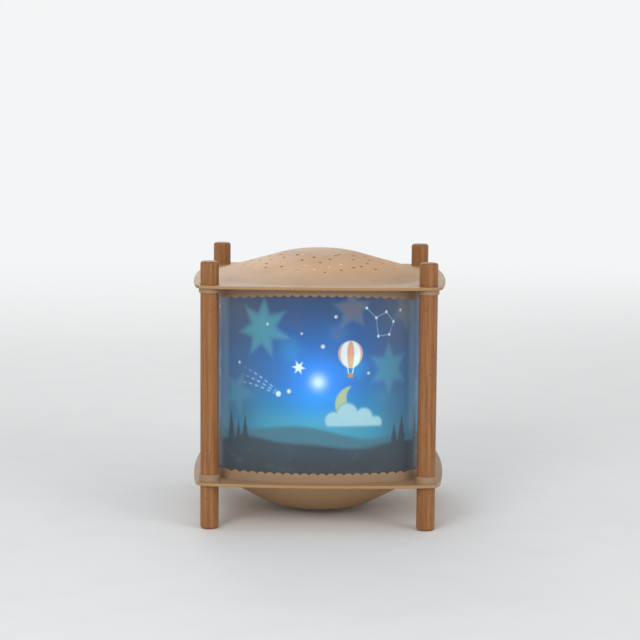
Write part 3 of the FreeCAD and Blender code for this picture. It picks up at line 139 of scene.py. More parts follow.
class Surface:
    """A new material and the places on it that its patterns are worked out from."""

    def __init__(self, name: str) -> None:
        """Makes the material with one Principled shader and nothing linked to it."""
        self.material = bpy.data.materials.new(name)
        self.material.use_nodes = True
        self.tree = self.material.node_tree
        self.tree.nodes.clear()
        self.shader = add_node(self.tree, "ShaderNodeBsdfPrincipled")
        add_node(self.tree, "ShaderNodeOutputMaterial", {"Surface": self.shader.outputs[0]})
        self.place = add_node(self.tree, "ShaderNodeTexCoord").outputs["Object"]

    def set(self, **values: object) -> None:
        """Sets the shader's own sockets, named with underscores for spaces."""
        feed(self.tree, self.shader, {name.replace("_", " "): value for name, value in values.items()})

    def axes_mm(self) -> tuple[Field, Field, Field]:
        """The place on the object in millimetres, as three numbers."""
        scaled = add_node(self.tree, "ShaderNodeVectorMath",
                          {0: self.place, "Scale": 1 / MM}, operation="SCALE")
        return axes_of(self.tree, scaled.outputs[0])

    def noise(self, grain_mm: float | tuple[float, float, float], detail: float = 2.0,
              seed: float = 0.0) -> Field:
        """Soft noise whose grains have a real size.

        Args:
            grain_mm: the size of a grain, or its size along each axis.
            detail: how many finer layers are added.
            seed: shifts the pattern, so that alike pieces differ.

        Returns:
            The noise, about 0.5 on average.
        """
        sizes = grain_mm if isinstance(grain_mm, tuple) else (grain_mm,) * 3
        stretch = tuple(1 / (size * MM) for size in sizes)
        mapped = add_node(self.tree, "ShaderNodeMapping", {
            "Vector": self.place, "Location": (seed, seed * 0.7, seed * 1.3), "Scale": stretch})
        node = add_node(self.tree, "ShaderNodeTexNoise",
                        {"Vector": mapped.outputs[0], "Scale": 1.0, "Detail": detail})
        return Field(self.tree, node.outputs[0])

    def bump(self, height: Field, depth_mm: float) -> None:
        """Raises the surface by a height field, whose full rise is depth_mm."""
        node = add_node(self.tree, "ShaderNodeBump",
                        {"Strength": 1.0, "Distance": depth_mm * MM, "Height": height})
        self.set(Normal=node.outputs[0])


class Ink:
    """Colours laid on a surface one over the other."""

    def __init__(self, surface: Surface, colour: str | Socket) -> None:
        """Starts with one colour all over."""
        self.tree = surface.tree
        self.colour = linear(colour) if isinstance(colour, str) else colour

    def lay(self, colour: str, cover: Field | float) -> "Ink":
        """Lays a colour over what is there, by a cover from 0 to 1, and gives this ink again."""
        node = add_node(self.tree, "ShaderNodeMix",
                        {0: cover, 6: self.colour, 7: linear(colour)}, data_type="RGBA")
        self.colour = node.outputs[2]
        return self

    def add_light(self, colour: str, amount: Field) -> "Ink":
        """Adds light of a colour on top, by an amount that may pass 1."""
        below = self.colour if isinstance(self.colour, Socket) else self.colour[:3]
        node = add_node(self.tree, "ShaderNodeVectorMath",
                        {0: linear(colour)[:3], 1: amount, 2: below}, operation="MULTIPLY_ADD")
        self.colour = node.outputs[0]
        return self


def star(across: Field, up: Field, points: int, outer: float, inner: float, soft: float,
         turn: float = 0.0) -> Field:
    """The cover of a star around the zero of two coordinates.

    Args:
        across: distance to its right, in millimetres.
        up: distance above it, in millimetres.
        points: how many points it has.
        outer: radius of its points.
        inner: radius between them.
        soft: width of its blurred edge.
        turn: how far it is turned, in radians.

    Returns:
        1 inside the star and 0 outside.
    """
    radius = (across * across + up * up).apply("SQRT")
    half_step = math.pi / points
    swing = (up.apply("ARCTAN2", across) + (math.tau + turn)).apply("PINGPONG", half_step)
    # One straight side runs from a tip to the nearest notch; every other side is folded onto it
    run, climb = inner * math.cos(half_step) - outer, inner * math.sin(half_step)
    side = math.hypot(run, climb)
    away = swing.apply("COSINE") * radius - outer
    inside = swing.apply("SINE") * radius * (run / side) - away * (climb / side)
    return inside.ramp(-soft, soft)


def disc(across: Field, up: Field, radius: float, soft: float) -> Field:
    """The cover of a disc around the zero of two coordinates, with a blurred edge."""
    distance = (across * across + up * up).apply("SQRT")
    return distance.ramp(radius + soft, radius - soft)


def line(across: Field, up: Field, begin: tuple[float, float], finish: tuple[float, float],
         half_width: float, soft: float) -> Field:
    """The cover of a straight line between two places, with a blurred edge."""
    length = math.dist(begin, finish)
    run, climb = ((last - first) / length for first, last in zip(begin, finish))
    right, over = across - begin[0], up - begin[1]
    along = right * run + over * climb
    aside = (over * run - right * climb).apply("ABSOLUTE")
    ends = along.ramp(-soft, soft) * along.ramp(length + soft, length - soft)
    return aside.ramp(half_width + soft, half_width - soft) * ends


@dataclass(frozen=True)
class Finish:
    """What every finish has: a name, and a way to paint a new material."""

    name: str

    def paint(self, surface: Surface) -> None:
        """Gives the material its looks."""
        raise NotImplementedError


@lru_cache(maxsize=None)
def material_of(finish: Finish) -> Material:
    """Makes a finish's material once, however many pieces wear it."""
    surface = Surface(finish.name)
    finish.paint(surface)
    return surface.material


@dataclass(frozen=True)
class LitMoulding(Finish):
    """Polypropylene, injection moulded: milky tan that lets some of the bulb's light through.

    The mould's fine spark-eroded grain takes the shine off, and flow clouds show faintly. Inside the
    dome's star holes the walls carry painted shade, and some carry a painted glow of the bulb's light.
    """

    tan: str = "#A8845C"
    shade: str = "#946F49"
    pale: str = "#B59068"
    warm: str = "#BC8A54"
    greyed: str = "#927D6C"
    # painted shade inside the dome's star holes
    hole_shade: str = "#5B4634"
    glow: str = "#FFB870"
    glow_strength: float = 0.0
    pierced: bool = False
    ring_radius_mm: float = 50.0
    collar_half_mm: float = 84.0
    collar_heights_mm: tuple[float, float] = (37.0, 168.0)
    flank_fall: float = 0.2803
    flank_start_mm: float = 197.69
    holes_from_mm: float = 25.0
    holes_to_mm: float = 62.0

    def paint(self, surface: Surface) -> None:
        """Lays clouds and flow lines, the bulb's warm ring and the greyed collars."""
        x, y, z = surface.axes_mm()
        radius = (x * x + y * y).apply("SQRT")
        clouds = surface.noise(22.0, detail=3.0, seed=3.1)
        flow = surface.noise((60.0, 9.0, 9.0), detail=2.0, seed=7.7)
        ink = Ink(surface, self.tan)
        ink.lay(self.shade, clouds.ramp(0.52, 0.78) * 0.35)
        ink.lay(self.pale, flow.ramp(0.55, 0.8) * 0.3)
        # Warm light reaches the dome in a ring, past the drum's upper edge
        lit = (radius - self.ring_radius_mm).bell(22.0) * z.ramp(171.0, 178.0)
        ink.lay(self.warm, lit * 0.5)
        # The collars stand in the screen's blue light, which greys them
        farther = x.apply("ABSOLUTE").apply("MAXIMUM", y.apply("ABSOLUTE"))
        collars = farther.ramp(self.collar_half_mm + 0.6, self.collar_half_mm - 0.6)
        lower, upper = ((z - height).bell(6.0) for height in self.collar_heights_mm)
        ink.lay(self.greyed, collars * (lower + upper) * 0.6)
        light = Ink(surface, "#000000")
        light.add_light(self.glow, lit * self.glow_strength)
        if self.pierced:
            self.light_holes(surface, ink, light, radius, z)
        grit = surface.noise(0.35, detail=1.0, seed=1.0)
        surface.bump(grit, 0.02)
        surface.set(Base_Color=ink.colour, Roughness=clouds * 0.12 + 0.42, IOR=1.49,
                    Subsurface_Weight=0.1, Subsurface_Radius=(1.0, 0.65, 0.4), Subsurface_Scale=0.002,
                    Specular_IOR_Level=0.32, Emission_Color=light.colour, Emission_Strength=1.0)

    def light_holes(self, surface: Surface, ink: Ink, light: Ink, radius: Field, z: Field) -> None:
        """Paints shade on the walls of the dome's star holes, and a glow of the bulb's light on some of
        them.

        Args:
            surface: the material being made.
            ink: its colours.
            light: its glow.
            radius: distance from the lamp's axis.
            z: height above the floor.
        """
        # How far a point lies below the dome's flank, which falls evenly outwards
        depth = (radius * -self.flank_fall + self.flank_start_mm) - z
        inside = depth.ramp(0.26, 0.5) * radius.ramp(self.holes_from_mm - 0.4, self.holes_from_mm)
        inside = inside * radius.ramp(self.holes_to_mm + 1.0, self.holes_to_mm)
        # Painted shade darkens the walls inside the star holes
        ink.lay(self.hole_shade, inside * 0.85)
        # Painted light: a glow of the bulb's light on some of the hole walls
        chance = surface.noise(9.0, detail=0.0, seed=21.0)
        light.add_light("#FFE7C2", inside * chance.ramp(0.5, 0.53) * 0.9)


@dataclass(frozen=True)
class BeechDowel(Finish):
    """Beech, turned and oiled: warm brown with fine long grain and short dark ray flecks."""

    centre_mm: tuple[float, float]
    seed: float
    wood: str = "#905E33"
    light: str = "#A87341"
    dark: str = "#6C4221"
    fleck: str = "#3F2713"
    height_mm: float = 190.0
    ring_mm: float = 4.2

    def paint(self, surface: Surface) -> None:
        """Lays growth rings, grain and ray flecks, and darkens the cut ends."""
        x, y, z = surface.axes_mm()
        x = x - self.centre_mm[0]
        y = y - self.centre_mm[1]
        # The tree's heart lies outside the dowel, so its rings cross it as gentle bands
        wander = surface.noise((9.0, 9.0, 120.0), detail=2.0, seed=self.seed)
        rings = ((x * 0.8 + y * 0.6) + wander * 7.0) / self.ring_mm
        band = (rings * math.tau).apply("SINE") * 0.5 + 0.5
        grain = surface.noise((0.55, 0.55, 30.0), detail=4.0, seed=self.seed + 2.0)
        # Ray flecks: real ones are about 0.3 mm wide and 3 mm long, drawn a little coarser to show
        rays = surface.noise((0.7, 0.7, 3.4), detail=1.0, seed=self.seed + 5.0)
        ink = Ink(surface, self.wood)
        ink.lay(self.light, band.ramp(0.2, 1.0) * 0.55)
        ink.lay(self.dark, grain.ramp(0.42, 0.7) * 0.65)
        ink.lay(self.fleck, rays.ramp(0.67, 0.73) * 0.65)
        ends = z.ramp(2.4, 0.2) + z.ramp(self.height_mm - 2.2, self.height_mm - 0.1)
        ink.lay(self.dark, ends * 0.35)
        surface.bump(grain * 0.7 + rays * -0.3, 0.05)
        surface.set(Base_Color=ink.colour, Roughness=grain * 0.2 + 0.4, IOR=1.5,
                    Coat_Weight=0.06, Coat_Roughness=0.4, Specular_IOR_Level=0.35)


@dataclass(frozen=True)
class LargeStar:
    """One large plain star: its place along a sheet or, in degrees, around the drum, and its shape."""

    across: float
    height_mm: float
    points: int
    outer_mm: float
    colour: str
    share: float = 1.0
    turn: float = 0.0


@dataclass(frozen=True)
class StarStyle:
    """How large stars are drawn: a pale rim, and a blurred core of the star's own colour."""

    rim: str
    rim_share: float
    rim_notch: float
    rim_soft_mm: float
    inset_mm: float
    core_soft_mm: float
    core_notch: float = 0.52

    def lay(self, ink: Ink, across: Field, up: Field, shape: LargeStar) -> None:
        """Lays one star.

        Args:
            ink: the colours that it is laid on.
            across: distance to the right of its middle, in millimetres.
            up: distance above its middle, in millimetres.
            shape: the star.
        """
        outer, core = shape.outer_mm, shape.outer_mm - self.inset_mm
        for colour, radius, notch, soft, share in (
                (self.rim, outer, self.rim_notch, self.rim_soft_mm, self.rim_share),
                (shape.colour, core, self.core_notch, self.core_soft_mm, 1.0)):
            cover = star(across, up, shape.points, radius, radius * notch, soft, shape.turn)
            ink.lay(colour, cover * (shape.share * share))


@dataclass(frozen=True)
class NightPrint(Finish):
    """Polypropylene sheet, screen-printed and lit from behind: a night sky over hills.

    On it are a crescent moon on a cloud, a striped balloon, a constellation, a comet, firs and plain
    stars. The bulb shows as a bright spot with a wide blue glow, and the sheet is frosted, so that
    the drum's bright stars show through it blurred.
    """

    face_half_mm: float = 81.5
    spot_height_mm: float = 105.8
    frosted: float = 0.55
    glow: float = 0.35
    cast: tuple[LargeStar, ...] = (
        LargeStar(-42.0, 143.0, 7, 21.0, "#4F9A9C", 0.6, 0.3),
        LargeStar(55.0, 115.0, 6, 18.0, "#4B8F9A", 0.5, 0.5),
        LargeStar(-66.0, 97.0, 5, 15.0, "#4C8A9B", 0.35, 0.1),
        LargeStar(24.0, 157.0, 5, 14.0, "#7A6560", 0.5, 0.9),
        LargeStar(72.0, 156.0, 5, 15.0, "#77645F", 0.4, 0.2))
    style: StarStyle = StarStyle("#84AEBB", 0.4, 0.54, 2.4, 2.8, 3.2)

    def paint(self, surface: Surface) -> None:
        """Lays the whole picture on each face, with s along the face from its middle."""
        x, y, z = surface.axes_mm()
        front_or_back = y.apply("ABSOLUTE").apply("GREATER_THAN", x.apply("ABSOLUTE"))
        along_sides = y / x * self.face_half_mm
        along_front = x / y * -self.face_half_mm
        s = along_sides + (along_front - along_sides) * front_or_back
        above = z - self.spot_height_mm
        core = (s * s + above * above).apply("SQRT")
        ink = self.sky(surface, s, z)
        # The drum's stars as the bulb casts them on the sheet, larger and blurred
        for shape in self.cast:
            self.style.lay(ink, s - shape.across, z - shape.height_mm, shape)
        # The bulb's light through the sheet: a wide blue glow and a small pale core
        ink.add_light("#0062AC", core.bell(25.0))
        ink.add_light("#C4B8B0", core.bell(5.5) * 0.9)
        for motif in (self.small_stars, self.balloon, self.constellation, self.comet, self.moon_and_cloud):
            motif(ink, s, z)
        self.ground(surface, ink, s, z)
        fine = surface.noise(0.6, detail=1.0, seed=4.0)
        surface.bump(fine, 0.01)
        surface.set(Base_Color=ink.colour, Roughness=0.38, IOR=1.3, Specular_IOR_Level=0.2,
                    Transmission_Weight=self.frosted, Emission_Color=ink.colour,
                    Emission_Strength=self.glow)

    def sky(self, surface: Surface, s: Field, z: Field) -> Ink:
        """Starts the print with the sky's colours, from the top of the sheet down to the horizon, and paints
        shade where the bulb's light falls off towards the sides.
        """
        clouds = surface.noise((34.0, 34.0, 16.0), detail=3.0, seed=9.0)
        ink = Ink(surface, "#3F5574")
        bands = (("#3C628E", 164.0, 140.0), ("#406F9C", 138.0, 112.0), ("#3F7FA2", 106.0, 90.0))
        for colour, high, low in bands:
            ink.lay(colour, z.ramp(high, low))
        ink.lay("#549DA6", z.ramp(92.0, 74.0) * (s.bell(52.0) * 0.75 + 0.15))
        ink.lay("#5C5A78", clouds.ramp(0.5, 0.72) * z.ramp(98.0, 140.0) * 0.45)
        # Painted shade: the bulb's light falls off towards the sides of each face and into its top corners,
        # which greys them
        far = s.apply("ABSOLUTE")
        ink.lay("#595A66", far.ramp(20.0, 72.0) * z.ramp(120.0, 160.0) * 0.8)
        ink.lay("#55697F", far.ramp(34.0, 74.0) * 0.55)
        ink.lay("#8496A2", far.ramp(73.0, 81.0) * 0.35)
        return ink

    def small_stars(self, ink: Ink, s: Field, z: Field) -> None:
        """Lays the printed stars: one pale star and a few dots."""
        ink.lay("#DDEDF5", star(s + 14.0, z - 116.0, 6, 4.6, 2.0, 0.7, 0.1))
        dots = ((3.0, 131.0, 1.3), (-21.0, 99.0, 1.4), (37.0, 112.0, 0.9), (-38.0, 146.0, 0.8),
                (12.0, 152.0, 1.0), (-12.0, 140.0, 0.7), (66.0, 156.0, 0.8), (-64.0, 118.0, 0.9))
        for across, up, radius in dots:
            ink.lay("#E6E3CC", disc(s - across, z - up, radius, 0.8) * 0.8)

    def balloon(self, ink: Ink, s: Field, z: Field) -> None:
        """Lays a striped hot-air balloon with its ropes and basket."""
        # Heights from the balloon's middle
        radius, mouth, basket_top, basket_foot = 9.0, -10.0, -14.0, -17.0
        across, up = s - 23.0, z - 126.0
        away = across.apply("ABSOLUTE")
        # Round above its middle; below it, longer, with sides that draw in towards the mouth
        low = up.apply("MINIMUM", 0.0)
        height = up - low * 0.2
        envelope = disc(away + low * low * 0.02, height, radius, 0.7) * up.ramp(mouth - 0.5, mouth + 0.3)
        ink.lay("#CBD3D0", envelope)
        width = (height * height * -1.0 + (radius * radius + 1.0)).apply("MAXIMUM", 1.0).apply("SQRT")
        stripes = ((across / width).apply("ARCSINE") * 5.0).apply("COSINE").ramp(-0.2, 0.4)
        ink.lay("#C98F68", stripes * envelope * 0.85)
        ropes = (away - (up - mouth) * 0.14 - 2.1).apply("ABSOLUTE").ramp(0.55, 0.1)
        between = up.ramp(basket_top - 0.4, basket_top + 0.1) * up.ramp(mouth + 0.3, mouth - 0.3)
        ink.lay("#D9E4E2", ropes * between * 0.8)
        basket = up.ramp(basket_foot - 0.2, basket_foot + 0.3) * up.ramp(basket_top + 0.4, basket_top - 0.1)
        ink.lay("#B98560", away.ramp(2.1, 1.6) * basket)

    def constellation(self, ink: Ink, s: Field, z: Field) -> None:
        """Lays a faint figure of six stars joined by fine lines."""
        places = ((35.0, 158.0), (43.0, 151.0), (52.0, 155.0), (59.0, 148.0), (55.0, 139.0), (45.0, 138.0))
        for begin, finish in zip(places, (*places[1:], places[1])):
            ink.lay("#9CC4D8", line(s, z, begin, finish, 0.35, 0.3) * 0.4)
        for across, up in places:
            ink.lay("#D5E6E6", disc(s - across, z - up, 0.95, 0.6) * 0.8)

    def comet(self, ink: Ink, s: Field, z: Field) -> None:
        """Lays a comet with a tail of short strokes."""
        # The comet's own axes: along its tail, and aside from it on a gentle bow
        tilt = math.radians(147.0)
        right, over = s + 29.0, z - 97.0
        along = right * math.cos(tilt) + over * math.sin(tilt)
        bow = right * -math.sin(tilt) + over * math.cos(tilt) - along * along * 0.006
        ink.lay("#DCE9EC", disc(along, bow, 1.9, 0.8) * 0.8)
        strokes = along.apply("PINGPONG", 2.6).ramp(0.7, 1.7) * along.ramp(2.0, 4.0) * along.ramp(38.0, 20.0)
        for aside_mm in (-2.4, 0.0, 2.4):
            trail = bow - along * (aside_mm * 0.06) - aside_mm * 0.4
            ink.lay("#A9CBDD", trail.apply("ABSOLUTE").ramp(0.95, 0.25) * strokes * 0.5)

    def moon_and_cloud(self, ink: Ink, s: Field, z: Field) -> None:
        """Lays a crescent moon that rests on a bank of cloud."""
        lit = disc(s - 25.0, z - 90.0, 13.0, 0.8)
        shadow = disc(s - 31.0, z - 94.5, 11.0, 0.8) * -1.0 + 1.0
        ink.lay("#B4BC86", lit * shadow * 0.85)
        puffs = ((11.0, 78.5, 7.0), (21.0, 83.0, 8.6), (33.5, 80.0, 8.2), (44.0, 76.5, 5.6))
        for colour, inset, share in (("#6FA3B0", 0.0, 0.7), ("#A6C6C8", 1.1, 0.8)):
            whole = (s - 27.5).apply("ABSOLUTE").ramp(18.6 - inset, 17.0 - inset) * z.ramp(82.0, 80.0)
            for across, up, radius in puffs:
                whole = whole.apply("MAXIMUM", disc(s - across, z - up, radius - inset, 0.8))
            ink.lay(colour, whole * z.ramp(72.6 + inset, 74.6 + inset) * share)

    def ground(self, surface: Surface, ink: Ink, s: Field, z: Field) -> None:
        """Lays dark rolling hills with firs on them, blurred by the light behind."""
        far_level, near_level, fir_foot = 70.0, 62.0, 60.0
        wave = math.tau / (2 * self.face_half_mm)
        far_hill = (s * wave + 1.2).apply("COSINE") * 3.6 + (s * (2 * wave) + 0.6).apply("COSINE") * 1.6
        near_hill = (s * wave - 0.9).apply("COSINE") * -3.0 + (s * (3 * wave)).apply("COSINE") * 0.8
        ink.lay("#527682", (far_hill + far_level - z).ramp(-2.0, 2.0) * 0.9)
        firs = ((-73.0, 24.0, 6.0), (-65.0, 17.0, 5.0), (-58.0, 21.0, 5.5), (61.0, 16.0, 5.0),
                (69.0, 22.0, 6.0))
        for across, height, half_width in firs:
            climb = (z - fir_foot) / height
            jag = (climb * 4.0).apply("FRACT") * -0.3 + 1.0
            spread = (climb * -1.0 + 1.0) * jag * half_width
            within = (spread - (s - across).apply("ABSOLUTE")).ramp(-0.9, 1.1)
            ink.lay("#485560", within * z.ramp(56.0, 58.0))
        ink.lay("#49545B", (near_hill + near_level - z).ramp(-2.2, 2.2))
        ink.lay("#4B4D50", z.ramp(58.0, 40.0) * 0.6)
        mist = surface.noise((13.0, 13.0, 6.0), detail=2.0, seed=15.0)
        ink.lay("#5C6C75", mist.ramp(0.52, 0.8) * z.ramp(64.0, 54.0) * 0.5)


@dataclass(frozen=True)
class DrumPrint(Finish):
    """Polyester film, printed and lit from inside: a blue band with large plain stars."""

    radius_mm: float = 48.5
    brightness: float = 4.2
    stars: tuple[LargeStar, ...] = (
        LargeStar(-117.0, 125.0, 7, 12.0, "#5CC8B4"), LargeStar(-56.0, 111.5, 5, 11.0, "#5CC8B4"),
        LargeStar(-74.0, 136.0, 5, 9.0, "#FFA06E"), LargeStar(-18.0, 86.0, 5, 11.0, "#FFA06E"),
        LargeStar(-167.0, 94.0, 5, 12.0, "#FFA06E"), LargeStar(22.0, 126.0, 7, 16.0, "#FFA06E"),
        LargeStar(62.0, 92.0, 5, 13.0, "#5CC8B4"), LargeStar(101.0, 138.0, 5, 13.0, "#5CC8B4"),
        LargeStar(146.0, 122.0, 7, 16.0, "#FFA06E"))
    style: StarStyle = StarStyle("#D6E6E0", 0.7, 0.52, 1.4, 2.6, 1.6)

    def paint(self, surface: Surface) -> None:
        """Lays the band and its stars, brightest around the bulb."""
        x, y, z = surface.axes_mm()
        angle = y.apply("ARCTAN2", x)
        ink = Ink(surface, "#46587A")
        ink.lay("#586B84", z.ramp(146.0, 96.0))
        for shape in self.stars:
            turned = angle - math.radians(shape.across) + 3 * math.pi
            around = (turned.apply("MODULO", math.tau) - math.pi) * self.radius_mm
            self.style.lay(ink, around, z - shape.height_mm, shape)
        fine = surface.noise(1.2, detail=2.0, seed=2.0)
        surface.bump(fine, 0.01)
        light = (z - 100.0).bell(90.0)
        shine = add_node(surface.tree, "ShaderNodeVectorMath",
                         {0: ink.colour, "Scale": light}, operation="SCALE")
        surface.set(Base_Color=ink.colour, Roughness=fine * 0.1 + 0.3, IOR=1.57, Specular_IOR_Level=0.3,
                    Emission_Color=shine.outputs[0], Emission_Strength=self.brightness)


@dataclass(frozen=True)
class PlainPlastic(Finish):
    """A solid moulded plastic or rubber: even colour, mould grain and faint clouds of a second tone."""

    colour: str
    second: str
    roughness: float
    grain_mm: float = 0.4
    depth_mm: float = 0.02
    clear: float = 0.0

    def paint(self, surface: Surface) -> None:
        """Lays the clouds and the grain."""
        clouds = surface.noise(6.0, detail=3.0, seed=5.0)
        grain = surface.noise(self.grain_mm, detail=1.0, seed=1.5)
        ink = Ink(surface, self.colour).lay(self.second, clouds.ramp(0.45, 0.75) * 0.5)
        surface.bump(grain, self.depth_mm)
        surface.set(Base_Color=ink.colour, Roughness=clouds * 0.15 + (self.roughness - 0.07), IOR=1.5,
                    Transmission_Weight=self.clear, Specular_IOR_Level=0.4)


@dataclass(frozen=True)
class WorkedMetal(Finish):
    """A metal as its tool left it: fine lines from rolling, drawing or turning, and dull patches."""

    colour: str
    dull: str
    roughness: float
    line_mm: tuple[float, float, float]
    depth_mm: float = 0.008

    def paint(self, surface: Surface) -> None:
        """Lays the dull patches and the tool's lines."""
        lines = surface.noise(self.line_mm, detail=2.0, seed=2.5)
        patches = surface.noise(5.0, detail=4.0, seed=8.5)
        ink = Ink(surface, self.colour).lay(self.dull, patches.ramp(0.45, 0.75) * 0.6)
        surface.bump(lines, self.depth_mm)
        surface.set(Base_Color=ink.colour, Metallic=1.0,
                    Roughness=patches * 0.2 + lines * 0.1 + (self.roughness - 0.15))


@dataclass(frozen=True)
class LampGlass(Finish):
    """Soda glass, blown or pressed: clear, with faint waves and a breath of grey."""

    tint: str
    roughness: float = 0.03

    def paint(self, surface: Surface) -> None:
        """Lays the waves."""
        waves = surface.noise((7.0, 7.0, 18.0), detail=1.0, seed=6.0)
        ink = Ink(surface, self.tint).lay("#E9EDEC", waves.ramp(0.4, 0.8) * 0.5)
        surface.bump(waves, 0.03)
        surface.set(Base_Color=ink.colour, Roughness=self.roughness, IOR=1.5, Transmission_Weight=0.92)


@dataclass(frozen=True)
class HotFilament(Finish):
    """Tungsten coil at work: it glows, more at its middle than at its ends."""

    colour: str = "#FFD9A0"
    strength: float = 12.0

    def paint(self, surface: Surface) -> None:
        """Lays the heat along the coil."""
        x, _, _ = surface.axes_mm()
        ink = Ink(surface, "#5A3A22").lay(self.colour, x.bell(5.0))
        surface.set(Base_Color=(0.2, 0.18, 0.16, 1.0), Metallic=1.0, Roughness=0.5,
                    Emission_Color=ink.colour, Emission_Strength=self.strength)


ZINC = WorkedMetal("zinc_plated_steel", "#C3C4C0", "#A5A7A4", 0.36, line_mm=(0.25, 3.0, 3.0))
BRASS = WorkedMetal("turned_brass", "#C9A456", "#9C7B3A", 0.3, line_mm=(2.0, 2.0, 0.2))
DRAWN_WIRE = WorkedMetal("drawn_steel_wire", "#B9BCBE", "#94989B", 0.25, line_mm=(0.2, 0.2, 4.0))
NYLON = PlainPlastic("moulded_nylon", "#D8D2C4", "#CBC4B4", 0.4, grain_mm=0.5, depth_mm=0.01)


def new_piece(name: str, mesh: bpy.types.Mesh) -> Piece:
    """Puts a mesh in the scene as an object at the origin."""
    piece = bpy.data.objects.new(name, mesh)
    bpy.context.scene.collection.objects.link(piece)
    return piece


def stand_in(piece: Piece, body: str, node: str) -> None:
    """Lets a piece move with a body in place of a plain solid.

    Args:
        piece: the finished piece.
        body: the body that it rides on.
        node: the solid that it stands for.
    """
    mesh = piece.data
    mesh.polygons.foreach_set("use_smooth", [True] * len(mesh.polygons))
    mesh.set_sharp_from_angle(angle=math.radians(32.0))
    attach(piece, body)
    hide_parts(node)
    log.info("made %s of %d faces for %s", piece.name, len(mesh.polygons), node)


def numbers_of(sizes: object) -> dict[str, float | int]:
    """A dataclass's numbers by their names, as inputs of a recipe."""
    values = {item.name: getattr(sizes, item.name) for item in fields(sizes)}
    return {name: value for name, value in values.items() if isinstance(value, (int, float))}


class Recipe:
    """A geometry tree with named inputs, run once to shape one piece."""

    KINDS = {int: "Int", float: "Float", Material: "Material"}

    def __init__(self, name: str, finish: Finish, sizes: dict[str, float | int]) -> None:
        """Starts the tree, with an input for each size and for the finish."""
        self.name = name
        self.values = {**sizes, "Finish": material_of(finish)}
        self.tree = bpy.data.node_groups.new(f"{name}_recipe", "GeometryNodeTree")
        for label, value in self.values.items():
            kind = self.KINDS[type(value)]
            self.tree.interface.new_socket(label, in_out="INPUT", socket_type=f"NodeSocket{kind}")
        self.tree.interface.new_socket("Geometry", in_out="OUTPUT", socket_type="NodeSocketGeometry")
        self.inputs = add_node(self.tree, "NodeGroupInput").outputs

    def __getitem__(self, label: str) -> Field:
        """An input's number."""
        return Field(self.tree, self.inputs[label])

    def add(self, kind: str, inputs: dict | None = None, **settings: object) -> Socket:
        """Adds a node to the tree and gives its first output."""
        return add_node(self.tree, kind, inputs, **settings).outputs[0]

    def place(self) -> tuple[Field, Field, Field]:
        """The place of each point of a shape, as three numbers."""
        return axes_of(self.tree, self.add("GeometryNodeInputPosition"))

    def bake(self, shape: Socket) -> Piece:
        """Ends the tree with a shape, runs it and keeps the result as a plain mesh.

        Args:
            shape: the geometry that the piece gets.

        Returns:
            The piece, without a modifier.
        """
        solid = self.add("GeometryNodeRealizeInstances", {0: shape})
        dressed = self.add("GeometryNodeSetMaterial", {0: solid, "Material": self.inputs["Finish"]})
        add_node(self.tree, "NodeGroupOutput", {0: dressed})
        piece = new_piece(self.name, bpy.data.meshes.new(f"{self.name}_start"))
        modifier = piece.modifiers.new("recipe", "NODES")
        modifier.node_group = self.tree
        for item in self.tree.interface.items_tree:
            if item.in_out == "INPUT":
                modifier[item.identifier] = self.values[item.name]
        bpy.context.view_layer.update()
        mesh = bpy.data.meshes.new_from_object(piece.evaluated_get(bpy.context.evaluated_depsgraph_get()))
        piece.modifiers.clear()
        piece.data = mesh
        mesh.name = self.name
        return piece


class Facing(Enum):
    """Which way a fastener's head faces: the value turns it there from upright, in radians."""

    UP = 0.0
    OUTWARDS = math.pi / 2
    DOWN = math.pi


@dataclass(frozen=True)
class Places:
    """Where alike fasteners sit: around the lamp's axis, or in a column where the step is 0."""

    radius: float
    height: float
    count: int = 1
    first_angle: float = 0.0
    step: float = 0.0
    rise: float = 0.0
    facing: Facing = Facing.UP

    @staticmethod
    def fill(recipe: Recipe, shape: Socket) -> Socket:
        """Sets a copy of a shape at each place.

        Args:
            recipe: the recipe that has the places as inputs.
            shape: one fastener, upright at the origin.

        Returns:
            All the copies.
        """
        index = Field(recipe.tree, recipe.add("GeometryNodeInputIndex"))
        angle = index * recipe["step"] + recipe["first_angle"]
        level = (index - (recipe["count"] - 1.0) * 0.5) * recipe["rise"] + recipe["height"]
        spot = (angle.apply("COSINE") * recipe["radius"], angle.apply("SINE") * recipe["radius"], level)
        points = recipe.add("GeometryNodePoints", {"Count": recipe["count"], "Position": spot})
        return recipe.add("GeometryNodeInstanceOnPoints", {
            "Points": points, "Instance": shape, "Rotation": (0.0, recipe["tilt"], angle)})


@dataclass(frozen=True)
class FittingSet:
    """Alike screws, rivets or nuts that stand for plain solids."""

    name: str
    node: str

    def solid(self, recipe: Recipe) -> Socket:
        """Shapes one fitting, upright at the origin."""
        raise NotImplementedError

    def build(self, places: Places, body: str, finish: Finish) -> None:
        """Makes the whole set in place of its plain solids.

        Args:
            places: where its members sit.
            body: the body that they ride on.
            finish: their finish.
        """
        sizes = {**numbers_of(self), **numbers_of(places), "tilt": places.facing.value}
        recipe = Recipe(self.name, finish, sizes)
        stand_in(recipe.bake(Places.fill(recipe, self.solid(recipe))), body, self.node)


class Head(Enum):
    """The kinds of head on the lamp's screws and rivets."""

    COUNTERSUNK = "countersunk"
    PAN = "pan"
    RIVET = "rivet"


